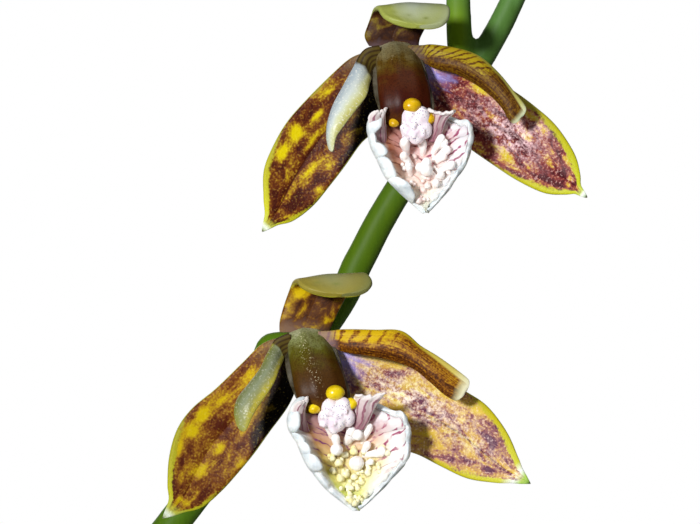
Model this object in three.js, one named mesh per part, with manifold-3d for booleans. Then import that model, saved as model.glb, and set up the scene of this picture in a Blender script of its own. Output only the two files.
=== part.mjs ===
import * as THREE from 'three';
import { mergeVertices } from 'three/addons/utils/BufferGeometryUtils.js';
import Module from 'manifold-3d';

const wasm = await Module();
wasm.setup();

// Potted orchid with a leaning flower stem. Millimetres, +Z up, origin at the middle of the
// pot's base. The flowers look towards -Y.

// Driving dimensions of the pot and the bark in it
const GAP = 0.3;
const POT_HEIGHT = 88;
const POT_BASE_RADIUS = 38;
const POT_TOP_RADIUS = 50;
const RIM_RADIUS = 54;
const RIM_HEIGHT = 15;
const POT_WALL = 4.5;
const POT_FLOOR = 6;
const POT_SIDES = 36;
const DRAIN_COUNT = 4;
const DRAIN_RADIUS = 4.5;
const DRAIN_CIRCLE = 19;
const BARK_TOP = 74;
const CHIP_COUNT = 26;
const CHIP_SIZE = [20, 12.5, 6];
const CHIP_SEED = 11;
const CHIP_TILT = 0.7;
const CHIP_TAPER = 0.7;
const CHIP_RISE = 2.5;

// Creeping rhizome, and the pseudobulbs that stand on it: foot x, foot y, apex height and width,
// and how far the apex leans in x and y
const RHIZOME_HEIGHT = 78;
const RHIZOME_RADIUS = 3;
const BULB_FOOT = 79.5;
const BULB_NECK = 3.3;
const BULBS = [
  { x: -33, y: -16, apex: 128, width: 13.5, leanX: -6, leanY: -3 },
  { x: -24, y: -3, apex: 139, width: 14.5, leanX: -5, leanY: -1 },
  { x: -13, y: 6, apex: 150, width: 15.5, leanX: -4, leanY: -1 },
  { x: 3, y: 10, apex: 143, width: 14.5, leanX: 1, leanY: 5 },
  { x: 18, y: 1, apex: 136, width: 14, leanX: 4, leanY: 1 },
  { x: 28, y: -13, apex: 121, width: 12.5, leanX: 6, leanY: -3 },
];

// Roots that leave the rhizome and dive into the bark: foot x, foot y, direction and reach
const ROOTS = [
  [-28, -9, 290, 17], [-18, 3, 130, 16], [-5, 10, 265, 20], [10, 6, 285, 18], [24, -6, 40, 15],
];
const ROOT_RADIUS = 1.1;

// Strap leaves: bulb, azimuth, length, lean from upright at the foot and further bend to the
// tip, and full width
const LEAF_THICKNESS = 0.8;
const LEAF_FOOT_OFFSET = 2.1;
const LEAF_FOOT_GAP = 0.45;
const LEAF_SLICES = 60;
const LEAF_LEAN_SHARE = 0.25;
const LEAF_BEND_POWER = 1.4;
const LEAF_FOLD = 0.3;
const LEAVES = [
  { bulb: 0, azimuth: 212, length: 118, lean: 14, bend: 70, width: 12 },
  { bulb: 1, azimuth: 162, length: 146, lean: 12, bend: 50, width: 13 },
  { bulb: 1, azimuth: 272, length: 120, lean: 14, bend: 84, width: 12.5 },
  { bulb: 2, azimuth: 118, length: 146, lean: 9, bend: 50, width: 13.5 },
  { bulb: 2, azimuth: 262, length: 132, lean: 12, bend: 92, width: 13 },
  { bulb: 3, azimuth: 42, length: 120, lean: 27, bend: 92, width: 13 },
  { bulb: 3, azimuth: 160, length: 112, lean: 24, bend: 84, width: 12 },
  { bulb: 4, azimuth: 20, length: 130, lean: 30, bend: 76, width: 13 },
  { bulb: 4, azimuth: 262, length: 108, lean: 30, bend: 84, width: 12.5 },
  { bulb: 5, azimuth: 345, length: 92, lean: 34, bend: 60, width: 11.5 },
];
// Share of the length, and half width there as a share of the greatest
const LEAF_PROFILE = [
  [0, 0.36], [0.14, 0.6], [0.38, 0.96], [0.62, 1], [0.82, 0.72], [0.95, 0.3], [1, 0.06],
];

// Flower stem: x, z and radius from the apex of the flowering bulb to the tip of the spray
const STEM_Y = 5;
const STEM = [
  [-17, 150.3, 1.5], [-15.6, 164, 1.25], [-11, 179, 1.15], [-5, 190.8, 1.1], [1, 200, 1.08],
  [6.9, 207.6, 1.06], [16.35, 220, 1], [18.6, 224.1, 0.97], [20.6, 227.8, 0.93], [25.9, 236.2, 0.84],
  [28.2, 240.4, 0.78], [30, 245, 0.7], [31.2, 249.5, 0.6],
];
const STEM_STEPS = 38;
const PEDICEL_SIDES = 7;
const PEDICEL_STEPS = 6;
const PEDICEL_RADIUS = 0.62;
const OVARY_RADIUS = 0.95;
const RECEPTACLE_RADIUS = 1.15;
const BUD_PEDICEL_RADIUS = 0.5;
const RECEPTACLE = [0, 0.65, -0.6];
const RECEPTACLE_BACK = [0, 2, -0.85];

// Flowers: where the middle of each one is, its turn about the upright and its size
const UPPER_PLACE = { centre: [21, 0, 237.4], turn: 0, size: 1 };
const LOWER_PLACE = { centre: [15.4, 0, 219.5], turn: 0, size: 1 };
const TOP_PLACE = { centre: [23, 0.5, 254.2], turn: -42, size: 0.93 };
// Points that each pedicel passes on its way from the stem
const UPPER_PEDICEL = [[23.4, 5, 232.2], [22.2, 4.7, 234.2], [21.3, 3.6, 236.2]];
const LOWER_PEDICEL = [[12.6, 5, 215.1], [12.4, 4.7, 217.2], [12.9, 3.6, 218.9]];
const TOP_PEDICEL = [[25.3, 5, 235.4], [24.9, 4.6, 238.4], [24.8, 4.4, 243], [24.6, 4, 249]];
const BUD_PEDICEL = [[30, 5, 245], [32.2, 5.6, 247.2], [34, 6, 248.4]];
const BUDS = [
  { name: 'bud_tip', foot: [31.6, 5, 250], apex: [33.4, 4.6, 257.5], radius: 1.9 },
  { name: 'bud_side', foot: [34.4, 6.05, 248.8], apex: [38.6, 6.6, 252.6], radius: 1.5 },
];
// Short dry sheaths round the lower stem: height of the foot and length, and share of the length
// with the radius there
const SHEATHS = [[161, 11], [180, 9]];
const SHEATH_PROFILE = [[0, 1.3], [0.3, 1.75], [0.7, 1.6], [1, 0.7]];

const TEPAL_THICKNESS = 0.65;
const LIP_THICKNESS = 0.65;
const RUFFLE = 0.22;
const RUFFLE_COUNT = 5;
const PAPILLA_RADIUS = 0.3;
const PAPILLA_LENGTH = 1;
const PAPILLA_SPREAD = 0.78;
const PAPILLA_SEED = 5;
const PAPILLA_ROWS = [0.42, 0.82];

// A tepal is a row of ribs from its foot to its tip. A rib runs from one edge to the other:
// x, y, z of both ends from the flower's middle, then how far its own middle stands forward.
const UPPER_FLOWER = {
  dorsal: [
    [1.3, 0.05, 0.1, -1.8, 0.05, 0.1, 0], [1.4, -0.05, 0.6, -2.1, -0.05, 0.7, -0.1],
    [1.9, -0.2, 1.5, -1.9, -0.1, 1.4, -0.2], [2.6, -0.5, 2.4, -1.6, -0.4, 2.1, -0.2],
    [3.2, -1.6, 2.3, -1.3, -1.4, 2.3, -0.1], [3.1, -2.5, 1.6, -0.9, -2.2, 1.8, 0.1],
    [2.4, -3, 1.1, 0.1, -2.7, 1.3, 0],
  ],
  sepalLeft: [
    [-1.7, 0, -0.2, -0.9, 0, -2.2, 0], [-2.9, 0.1, -0.6, -0.8, 0.1, -3.3, -0.15],
    [-4.1, 0.2, -1.6, -1.3, 0.1, -5, -0.3], [-5.8, 0.2, -3.3, -2.3, 0, -6, -0.35],
    [-7, 0.1, -4.7, -3.3, -0.1, -7.4, -0.35], [-7.9, 0, -6.3, -4.3, -0.2, -8.7, -0.3],
    [-8.4, -0.2, -7.7, -5.3, -0.3, -9.9, -0.25], [-8.4, -0.4, -9.3, -6.5, -0.5, -10.8, -0.1],
    [-8.3, -0.6, -10.5, -7.6, -0.6, -11.1, 0], [-8.6, -0.8, -11.4, -8.35, -0.8, -11.6, 0],
  ],
  sepalRight: [
    [0.9, 0, -2.4, 1.7, 0, -0.3, 0], [1.4, 0.1, -3.9, 3.6, 0.1, -0.9, -0.15],
    [2.6, 0.1, -4.9, 5.2, 0.2, -1.5, -0.3], [4.3, 0, -6.2, 7.1, 0.2, -2.6, -0.35],
    [5.8, -0.1, -7.25, 8.6, 0.1, -3.7, -0.35], [7.4, -0.2, -8.3, 9.9, 0, -4.9, -0.3],
    [9.1, -0.4, -9.1, 11, -0.2, -6.6, -0.25], [10.4, -0.5, -9.2, 11.35, -0.4, -7.9, -0.1],
    [11.1, -0.6, -9.15, 11.4, -0.6, -8.7, 0], [11.65, -0.8, -9.5, 11.85, -0.8, -9.25, 0],
  ],
  petalLeft: [
    [-2, -0.95, -0.1, -1.5, -0.95, -1.3, 0], [-2.5, -1.1, -0.7, -1.7, -1.2, -1.8, 0.1],
    [-2.8, -1.7, -1.4, -1.9, -2, -2.4, 0.2], [-3.4, -2.3, -2.6, -2, -2.9, -3.1, 0.3],
    [-4, -2.8, -3.75, -2.6, -3.4, -3.9, 0.3], [-4.3, -3.2, -4.8, -3.3, -3.7, -4.8, 0.25],
    [-4.3, -3.4, -5.7, -3.8, -3.8, -5.6, 0.1], [-4.2, -3.6, -6.4, -3.95, -3.7, -6.45, 0],
  ],
  petalRight: [
    [1.7, -0.95, -1, 1.5, -0.95, 0.1, 0], [2.4, -1.1, -1.3, 2.25, -1.1, 0.1, 0.15],
    [3.6, -1.4, -1.6, 3.9, -1.3, -0.2, 0.25], [4.9, -1.7, -2.3, 5.1, -1.6, -0.7, 0.25],
    [5.9, -2, -3.1, 6.2, -1.8, -1.7, 0.25], [6.6, -2.2, -3.9, 7.1, -2.1, -2.8, 0.2],
    [6.9, -2.4, -4.5, 7.7, -2.3, -3.5, 0.1], [7.25, -2.5, -4.9, 8, -2.4, -4, 0],
  ],
  lip: [
    [0, -1, -2.9, 0.9, -1, -2.9, 0], [-0.6, -1.5, -4, 2.4, -1.5, -3.9, -0.2],
    [-1.6, -2.6, -5, 4.2, -2.6, -4.7, -0.9], [-1.7, -3, -5.8, 4.5, -3, -5.2, -1.3],
    [-1.4, -3.1, -6.6, 4.4, -3.1, -6.2, -1.4], [-1, -3.2, -7.4, 4.1, -3.2, -7.2, -1.3],
    [-0.6, -3.2, -8.3, 3.6, -3.2, -8.2, -1.1], [0.1, -3.3, -9.2, 3.1, -3.3, -9.1, -0.7],
    [0.9, -3.4, -9.8, 2.4, -3.4, -9.8, -0.3], [1.6, -3.5, -10.2, 1.9, -3.5, -10.2, 0],
  ],
  earLeft: [
    [-1.5, -2.9, -6, -0.6, -2.6, -6.1, 0], [-1.8, -3.1, -5.1, -1, -2.8, -5.2, 0],
    [-1.9, -3.3, -4.5, -1.3, -3, -4.4, 0], [-1.8, -3.4, -4, -1.4, -3.2, -3.9, 0],
  ],
  earRight: [
    [2.3, -2.5, -5.9, 3.5, -2.8, -5.8, 0], [2.6, -2.9, -5, 3.5, -3.1, -4.8, 0],
    [2.7, -3.1, -4.2, 3.5, -3.4, -4.2, 0], [2.7, -3.3, -3.7, 3.5, -3.5, -3.8, 0],
  ],
  callus: [[0.75, -2.9, -4.8, 0.42], [1.4, -2.9, -4.75, 0.42], [1.05, -2.7, -5.5, 0.75]],
  column: [
    [0, 0.3, -0.9, 0.75, 0.6], [0, -0.9, -1, 1.05, 0.9], [0.2, -2, -1.9, 1.45, 1],
    [0.4, -2.8, -2.9, 1.75, 1], [0.55, -3.15, -3.55, 1.5, 0.8],
  ],
  teeth: [
    [0.6, -3.2, -3.2, 0.85, -3.85, -3.6, 0.5], [-0.25, -3.1, -3.4, -0.35, -3.3, -4.3, 0.32],
    [1.4, -3.1, -3.4, 1.9, -3.3, -4.2, 0.32],
  ],
};
const LOWER_FLOWER = {
  dorsal: [
    [1.3, 0.05, 0.1, -1.8, 0.05, 0.1, 0], [1.6, -0.05, 0.8, -1.8, -0.05, 0.8, -0.1],
    [2.1, -0.2, 1.8, -1.5, -0.1, 1.9, -0.2], [2.8, -0.5, 3, -1.1, -0.4, 2.9, -0.2],
    [3.6, -1.6, 3.6, -0.75, -1.4, 3.2, -0.1], [4, -2.5, 3.1, -0.4, -2.2, 2.9, 0.1],
    [3.4, -3, 2.4, 0.6, -2.7, 2.4, 0],
  ],
  sepalLeft: [
    [-1.7, 0, -0.2, -0.9, 0, -2.2, 0], [-2.9, 0.1, -0.6, -0.8, 0.1, -3.4, -0.15],
    [-4.1, 0.2, -1.75, -1.3, 0.1, -4.6, -0.3], [-5.8, 0.2, -3.4, -2.4, 0, -6.1, -0.35],
    [-7.25, 0.1, -4.6, -3.4, -0.1, -7.5, -0.35], [-8.2, 0, -5.9, -4.4, -0.2, -8.7, -0.3],
    [-8.7, -0.2, -7.6, -5.4, -0.3, -9.8, -0.25], [-8.8, -0.4, -9.3, -6.6, -0.5, -10.8, -0.1],
    [-8.7, -0.6, -10.4, -7.8, -0.6, -11.1, 0], [-9.2, -0.8, -11.4, -9, -0.8, -11.6, 0],
  ],
  sepalRight: [
    [0.9, 0, -2.4, 1.7, 0, -0.3, 0], [1.5, 0.1, -4.1, 3.6, 0.1, -0.9, -0.15],
    [3.1, 0.1, -5.7, 5.75, 0.2, -1.6, -0.3], [5.1, 0, -7, 7.9, 0.2, -2.5, -0.35],
    [6.75, -0.1, -7.5, 9.9, 0.1, -3.6, -0.35], [8.25, -0.2, -8.25, 11.2, 0, -4.5, -0.3],
    [9.9, -0.4, -9, 12.4, -0.2, -6.1, -0.25], [11.6, -0.5, -9.25, 13.1, -0.4, -7.7, -0.1],
    [12.8, -0.6, -9.25, 13.4, -0.6, -8.5, 0], [13.75, -0.8, -9.4, 13.9, -0.8, -9.2, 0],
  ],
  petalLeft: [
    [-2, -0.95, -0.3, -1.5, -0.95, -1.4, 0], [-2.3, -1.1, -0.8, -1.7, -1.2, -1.7, 0.1],
    [-2.6, -1.7, -1.4, -1.9, -2, -2.2, 0.2], [-2.9, -2.2, -2.2, -2.1, -2.8, -2.9, 0.25],
    [-3.6, -2.7, -3.1, -2.5, -3.3, -3.6, 0.25], [-4.3, -3.1, -4, -3.1, -3.6, -4.4, 0.25],
    [-4.5, -3.4, -4.9, -3.5, -3.8, -5.1, 0.1], [-4.2, -3.6, -5.9, -3.9, -3.7, -6.1, 0],
  ],
  petalRight: [
    [1.7, -0.95, -0.9, 1.5, -0.95, 0.2, 0], [2.5, -1.1, -1.1, 2.3, -1.1, 0.25, 0.15],
    [3.9, -1.4, -1.3, 4.2, -1.3, 0.2, 0.25], [5.25, -1.7, -1.6, 5.8, -1.6, 0.15, 0.25],
    [6.6, -2, -2.1, 6.9, -1.8, -0.75, 0.25], [7.6, -2.2, -2.9, 8, -2.1, -1.4, 0.2],
    [8.6, -2.4, -3.8, 9.3, -2.3, -2.3, 0.1], [9.4, -2.5, -4.2, 10.2, -2.4, -3, 0],
  ],
  lip: [
    [0.1, -1, -2.9, 1, -1, -2.9, 0], [-0.1, -1.5, -4, 3.4, -1.5, -4, -0.2],
    [-0.9, -2.6, -5, 5.6, -2.6, -4.7, -0.9], [-1.1, -3, -5.8, 6.2, -3, -5.5, -1.3],
    [-0.6, -3.1, -6.6, 6.2, -3.1, -6.4, -1.4], [-0.2, -3.2, -7.5, 6.1, -3.2, -7.6, -1.3],
    [0.4, -3.2, -8.5, 5.5, -3.2, -8.7, -1.1], [1.1, -3.3, -9.6, 4.8, -3.3, -9.7, -0.7],
    [2.1, -3.4, -10.3, 4.1, -3.4, -10.3, -0.3], [2.85, -3.5, -10.8, 3.15, -3.5, -10.8, 0],
  ],
  earLeft: [
    [-0.9, -2.9, -6, 0.1, -2.6, -6.1, 0], [-1.1, -3.1, -5.1, -0.4, -2.8, -5.2, 0],
    [-1.2, -3.3, -4.6, -0.7, -3, -4.5, 0], [-1.1, -3.4, -4.1, -0.8, -3.2, -4, 0],
  ],
  earRight: [
    [3.1, -2.5, -5.9, 4.4, -2.8, -5.8, 0], [3.3, -2.9, -5, 4.4, -3.1, -4.8, 0],
    [3.4, -3.1, -4.3, 4.3, -3.4, -4.3, 0], [3.3, -3.3, -3.8, 4.2, -3.5, -3.8, 0],
  ],
  callus: [[1.4, -2.9, -4.8, 0.45], [2.1, -2.9, -4.75, 0.45], [1.75, -2.7, -5.5, 0.8]],
  column: [
    [0, 0.3, -0.9, 0.75, 0.6], [0.1, -0.9, -1, 1.05, 0.9], [0.35, -2, -1.9, 1.45, 1],
    [0.7, -2.8, -2.9, 1.75, 1], [0.95, -3.15, -3.5, 1.5, 0.8],
  ],
  teeth: [
    [1.3, -3.2, -3.2, 1.7, -3.85, -3.6, 0.54], [0.2, -3.1, -3.4, 0.2, -3.3, -4.3, 0.32],
    [1.8, -3.1, -3.4, 2.6, -3.3, -4.2, 0.32],
  ],
};

const TERRACOTTA = { color: 0xb5673f, roughness: 0.9 };
const BARK = { color: 0x5b3c26, roughness: 0.95 };
const RHIZOME = { color: 0x7a6a45, roughness: 0.85 };
const BULB = { color: 0x7d8f3c, roughness: 0.55 };
const LEAF = { color: 0x4f7a2a, roughness: 0.45 };
const STALK = { color: 0x5b8a2e, roughness: 0.5 };
const TEPAL = { color: 0x9a7a1c, roughness: 0.5 };
const LIP = { color: 0xf1efe6, roughness: 0.5 };
const COLUMN = { color: 0x5a3a1c, roughness: 0.45 };
const BUD = { color: 0x9aa648, roughness: 0.5 };

const plant = new THREE.Group();

function vector(x, y, z) {
  return new THREE.Vector3(x, y, z);
}

function radians(degrees) {
  return (degrees * Math.PI) / 180;
}

// Seeded random numbers from 0 to 1, the same on every run
function randomFrom(seed) {
  let state = seed;
  return () => {
    state = (state * 1664525 + 1013904223) % 4294967296;
    return state / 4294967296;
  };
}

function addPiece(holder, name, geometry, finish) {
  const material = new THREE.MeshStandardMaterial({ ...finish, metalness: 0 });
  const mesh = new THREE.Mesh(geometry, material);
  mesh.name = name;
  holder.add(mesh);
}

// Six times the volume, which is negative where the faces look inwards
function signedVolume(positions, index) {
  const [a, b, c] = [vector(), vector(), vector()];
  let sum = 0;
  for (let i = 0; i < index.length; i += 3) {
    a.fromArray(positions, index[i] * 3);
    b.fromArray(positions, index[i + 1] * 3);
    c.fromArray(positions, index[i + 2] * 3);
    sum += a.dot(b.cross(c));
  }
  return sum;
}

function closedGeometry(positions, index) {
  const outward = index.slice();
  if (signedVolume(positions, index) < 0) outward.reverse();
  const geometry = new THREE.BufferGeometry();
  geometry.setAttribute('position', new THREE.Float32BufferAttribute(positions, 3));
  geometry.setIndex(outward);
  return geometry;
}

function toSolid(geometry) {
  const bare = geometry.clone();
  bare.deleteAttribute('normal');
  bare.deleteAttribute('uv');
  const merged = mergeVertices(bare, 1e-4);
  const mesh = new wasm.Mesh({
    numProp: 3,
    vertProperties: new Float32Array(merged.attributes.position.array),
    triVerts: new Uint32Array(merged.index.array),
  });
  return new wasm.Manifold(mesh);
}

// The largest body of a solid: loose scraps are dropped and sealed hollows are filled
function fromSolid(solid) {
  const bodies = solid.decompose();
  const largest = bodies.reduce((best, body) => (body.volume() > best.volume() ? body : best));
  const mesh = largest.getMesh();
  const geometry = new THREE.BufferGeometry();
  geometry.setAttribute('position', new THREE.BufferAttribute(mesh.vertProperties, 3));
  geometry.setIndex(new THREE.BufferAttribute(mesh.triVerts, 1));
  return geometry;
}

function fuse(geometries) {
  return geometries.map(toSolid).reduce((whole, solid) => whole.add(solid));
}

// Sheet between two edges, one through the first ends of the ribs and one through the second.
// The same points serve the finished blade and what grows on it.
function sheetOf(ribs, ruffle = 0) {
  const first = new THREE.CatmullRomCurve3(ribs.map((rib) => vector(rib[0], rib[1], rib[2])));
  const second = new THREE.CatmullRomCurve3(ribs.map((rib) => vector(rib[3], rib[4], rib[5])));
  const belly = new THREE.CatmullRomCurve3(ribs.map((rib, i) => vector(i, rib[6], 0)));
  const middle = (u) => first.getPoint(u).lerp(second.getPoint(u), 0.5);
  const step = 1e-3;
  return (u, v) => {
    const across = second.getPoint(u).sub(first.getPoint(u));
    const along = middle(Math.min(u + step, 1)).sub(middle(Math.max(u - step, 0)));
    const front = along.cross(across).normalize();
    const edge = Math.abs(2 * v - 1) ** 4 * Math.sin(Math.PI * u);
    const wave = ruffle * edge * Math.sin(2 * Math.PI * RUFFLE_COUNT * u + 3 * v);
    const rise = belly.getPoint(u).y * 4 * v * (1 - v) + wave;
    return first.getPoint(u).lerp(second.getPoint(u), v).addScaledVector(front, rise);
  };
}

function sheetNormal(sheet, u, v) {
  const step = 2e-3;
  const along = sheet(Math.min(u + step, 1), v).sub(sheet(Math.max(u - step, 0), v));
  const across = sheet(u, Math.min(v + step, 1)).sub(sheet(u, Math.max(v - step, 0)));
  return along.cross(across).normalize();
}

// Closed blade of even thickness round a sheet, with the same diagonals on both faces
function blade(sheet, steps, across, thickness) {
  const positions = [];
  for (const side of [0.5, -0.5]) {
    for (let i = 0; i <= steps; i++) {
      for (let j = 0; j <= across; j++) {
        const [u, v] = [i / steps, j / across];
        const point = sheet(u, v).addScaledVector(sheetNormal(sheet, u, v), side * thickness);
        positions.push(point.x, point.y, point.z);
      }
    }
  }
  const row = across + 1;
  const back = (steps + 1) * row;
  const index = [];
  for (let i = 0; i < steps; i++) {
    for (let j = 0; j < across; j++) {
      const [a, b, c, d] = [i * row + j, i * row + j + 1, (i + 1) * row + j + 1, (i + 1) * row + j];
      index.push(a, b, c, a, c, d);
      index.push(back + a, back + c, back + b, back + a, back + d, back + c);
    }
  }
  const rim = [];
  for (let j = 0; j < across; j++) rim.push(j);
  for (let i = 0; i < steps; i++) rim.push(i * row + across);
  for (let j = across; j > 0; j--) rim.push(steps * row + j);
  for (let i = steps; i > 0; i--) rim.push(i * row);
  rim.forEach((here, k) => {
    const next = rim[(k + 1) % rim.length];
    index.push(here, back + here, back + next, here, back + next, next);
  });
  return closedGeometry(positions, index);
}

// Closed round body along a path. A station is x, y, z, half width and half depth, and the width
// lies along the side vector.
function loft(stations, sides, steps, side = vector(1, 0, 0)) {
  const path = new THREE.CatmullRomCurve3(stations.map((s) => vector(s[0], s[1], s[2])));
  const size = new THREE.CatmullRomCurve3(stations.map((s) => vector(s[3], s[4] ?? s[3], 0)));
  const positions = [];
  for (let i = 0; i <= steps; i++) {
    const u = i / steps;
    const centre = path.getPoint(u);
    const tangent = path.getTangent(u);
    const wide = side.clone().addScaledVector(tangent, -side.dot(tangent)).normalize();
    const deep = tangent.clone().cross(wide);
    const half = size.getPoint(u);
    for (let j = 0; j < sides; j++) {
      const angle = (2 * Math.PI * j) / sides;
      const point = centre.clone();
      point.addScaledVector(wide, half.x * Math.cos(angle));
      point.addScaledVector(deep, half.y * Math.sin(angle));
      positions.push(point.x, point.y, point.z);
    }
  }
  const index = [];
  for (let i = 0; i < steps; i++) {
    for (let j = 0; j < sides; j++) {
      const next = (j + 1) % sides;
      const [a, b] = [i * sides + j, i * sides + next];
      const [c, d] = [(i + 1) * sides + next, (i + 1) * sides + j];
      index.push(a, b, c, a, c, d);
    }
  }
  const [foot, tip] = [(steps + 1) * sides, (steps + 1) * sides + 1];
  positions.push(...path.getPoint(0).toArray(), ...path.getPoint(1).toArray());
  for (let j = 0; j < sides; j++) {
    const next = (j + 1) % sides;
    index.push(foot, next, j, tip, steps * sides + j, steps * sides + next);
  }
  return closedGeometry(positions, index);
}

// Round-ended finger from one point to another
function finger(from, to, radius, sides) {
  const [a, b] = [vector(...from), vector(...to)];
  const axis = b.clone().sub(a).normalize();
  const side = Math.abs(axis.x) < 0.9 ? vector(1, 0, 0) : vector(0, 1, 0);
  const station = (point, ahead, share) => {
    const place = point.clone().addScaledVector(axis, ahead * radius);
    return [...place.toArray(), share * radius];
  };
  const stations = [
    station(a, -0.4, 0.75), station(b, -0.4, 1), station(b, 0.5, 0.85), station(b, 1, 0.35),
  ];
  return loft(stations, sides, 3, side);
}

function lobe(x, y, z, radius) {
  return finger([x, y, z + 0.2 * radius], [x, y, z - 0.2 * radius], radius, 7);
}

// Pot

function potInnerRadius(z) {
  return POT_BASE_RADIUS - POT_WALL + ((POT_TOP_RADIUS - POT_BASE_RADIUS) * z) / POT_HEIGHT;
}

function turned(profile) {
  const points = profile.map(([radius, z]) => new THREE.Vector2(radius, z));
  return new THREE.LatheGeometry(points, POT_SIDES).rotateX(Math.PI / 2);
}

function pot() {
  const rimFoot = POT_HEIGHT - RIM_HEIGHT;
  const wallAtRim = potInnerRadius(rimFoot) + POT_WALL;
  const profile = [
    [0, 0], [POT_BASE_RADIUS - 1.5, 0], [POT_BASE_RADIUS, 1.5], [wallAtRim, rimFoot],
    [RIM_RADIUS - 1, rimFoot], [RIM_RADIUS, rimFoot + 1.2], [RIM_RADIUS, POT_HEIGHT - 2],
    [RIM_RADIUS - 2, POT_HEIGHT], [potInnerRadius(POT_HEIGHT) + 1.5, POT_HEIGHT],
    [potInnerRadius(POT_HEIGHT - 2), POT_HEIGHT - 2], [potInnerRadius(POT_FLOOR), POT_FLOOR],
    [0, POT_FLOOR],
  ];
  let solid = toSolid(turned(profile));
  for (let i = 0; i < DRAIN_COUNT; i++) {
    const angle = (2 * Math.PI * (i + 0.5)) / DRAIN_COUNT;
    const hole = new THREE.CylinderGeometry(DRAIN_RADIUS, DRAIN_RADIUS, 3 * POT_FLOOR, 12);
    hole.rotateX(Math.PI / 2);
    hole.translate(DRAIN_CIRCLE * Math.cos(angle), DRAIN_CIRCLE * Math.sin(angle), 0);
    solid = solid.subtract(toSolid(hole));
  }
  return fromSolid(solid);
}

// Pseudobulbs and rhizome

function bulb({ x, y, apex, width, leanX, leanY }, grow = 0) {
  const height = apex - BULB_FOOT;
  const station = (share, breadth) => {
    const lean = share ** 1.5;
    const half = (width / 2) * breadth + grow;
    return [x + leanX * lean, y + leanY * lean, BULB_FOOT + height * share, half, half * 0.86];
  };
  const neck = (2 * BULB_NECK) / width;
  const stations = [
    station(0, 0.34), station(0.06, 0.56), station(0.18, 0.86), station(0.36, 1),
    station(0.56, 0.88), station(0.76, 0.64), station(0.92, neck), station(1, neck),
  ];
  return loft(stations, 10, 9);
}

function rhizome(grow = 0) {
  const first = BULBS[0];
  const last = BULBS[BULBS.length - 1];
  const radius = RHIZOME_RADIUS + grow;
  const stations = [
    [first.x - 2, first.y - 5, RHIZOME_HEIGHT - 2, radius * 0.8],
    ...BULBS.map(({ x, y }) => [x, y, RHIZOME_HEIGHT, radius]),
    [last.x + 3, last.y - 6, RHIZOME_HEIGHT + 1, radius * 0.85],
  ];
  const creeping = loft(stations, 7, 16, vector(0, 0, 1));
  const roots = ROOTS.map(([x, y, angle, reach]) => root(x, y, angle, reach, grow));
  return fuse([creeping, ...roots]);
}

function root(x, y, angle, reach, grow) {
  const [dx, dy] = [Math.cos(radians(angle)), Math.sin(radians(angle))];
  const station = (share, drop) => [
    x + dx * reach * share, y + dy * reach * share, RHIZOME_HEIGHT + drop, ROOT_RADIUS + grow,
  ];
  const stations = [station(0, 0), station(0.35, 1.6), station(0.7, -0.6), station(0.95, -6)];
  return loft(stations, 5, 5, vector(-dy, dx, 0));
}

// Bark chips, wedged in an even spiral and turned at random

function bark() {
  const random = randomFrom(CHIP_SEED);
  const taper = (z) => potInnerRadius(z) - GAP;
  const fill = turned([
    [0, POT_FLOOR + GAP], [taper(POT_FLOOR + GAP), POT_FLOOR + GAP], [taper(BARK_TOP), BARK_TOP],
    [0, BARK_TOP],
  ]);
  const room = turned([
    [0, POT_FLOOR + GAP], [taper(POT_FLOOR + GAP), POT_FLOOR + GAP],
    [taper(POT_HEIGHT), POT_HEIGHT], [0, POT_HEIGHT],
  ]);
  const goldenAngle = Math.PI * (3 - Math.sqrt(5));
  const spread = taper(BARK_TOP) - 4;
  let solid = toSolid(fill);
  for (let i = 0; i < CHIP_COUNT; i++) {
    const size = CHIP_SIZE.map((length) => length * (0.75 + 0.5 * random()));
    const chip = new THREE.BoxGeometry(...size);
    const corners = chip.attributes.position;
    for (let k = 0; k < corners.count; k++) {
      if (corners.getX(k) > 0) corners.setY(k, corners.getY(k) * CHIP_TAPER);
    }
    const tilts = [random(), random()].map((draw) => CHIP_TILT * (draw - 0.5));
    const turn = new THREE.Euler(...tilts, 2 * Math.PI * random());
    chip.applyMatrix4(new THREE.Matrix4().makeRotationFromEuler(turn));
    const radius = spread * Math.sqrt((i + 0.5) / CHIP_COUNT);
    const angle = i * goldenAngle;
    chip.translate(radius * Math.cos(angle), radius * Math.sin(angle), BARK_TOP + CHIP_RISE * random());
    solid = solid.add(toSolid(chip));
  }
  solid = solid.intersect(toSolid(room)).subtract(rhizome(GAP));
  for (const each of BULBS) solid = solid.subtract(toSolid(bulb(each, GAP)));
  return fromSolid(solid);
}

function rhizomeWithSockets() {
  let solid = rhizome();
  for (const each of BULBS) solid = solid.subtract(toSolid(bulb(each, GAP).translate(0, 0, -GAP)));
  return fromSolid(solid);
}

// Leaves, folded along the middle and arching over

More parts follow.
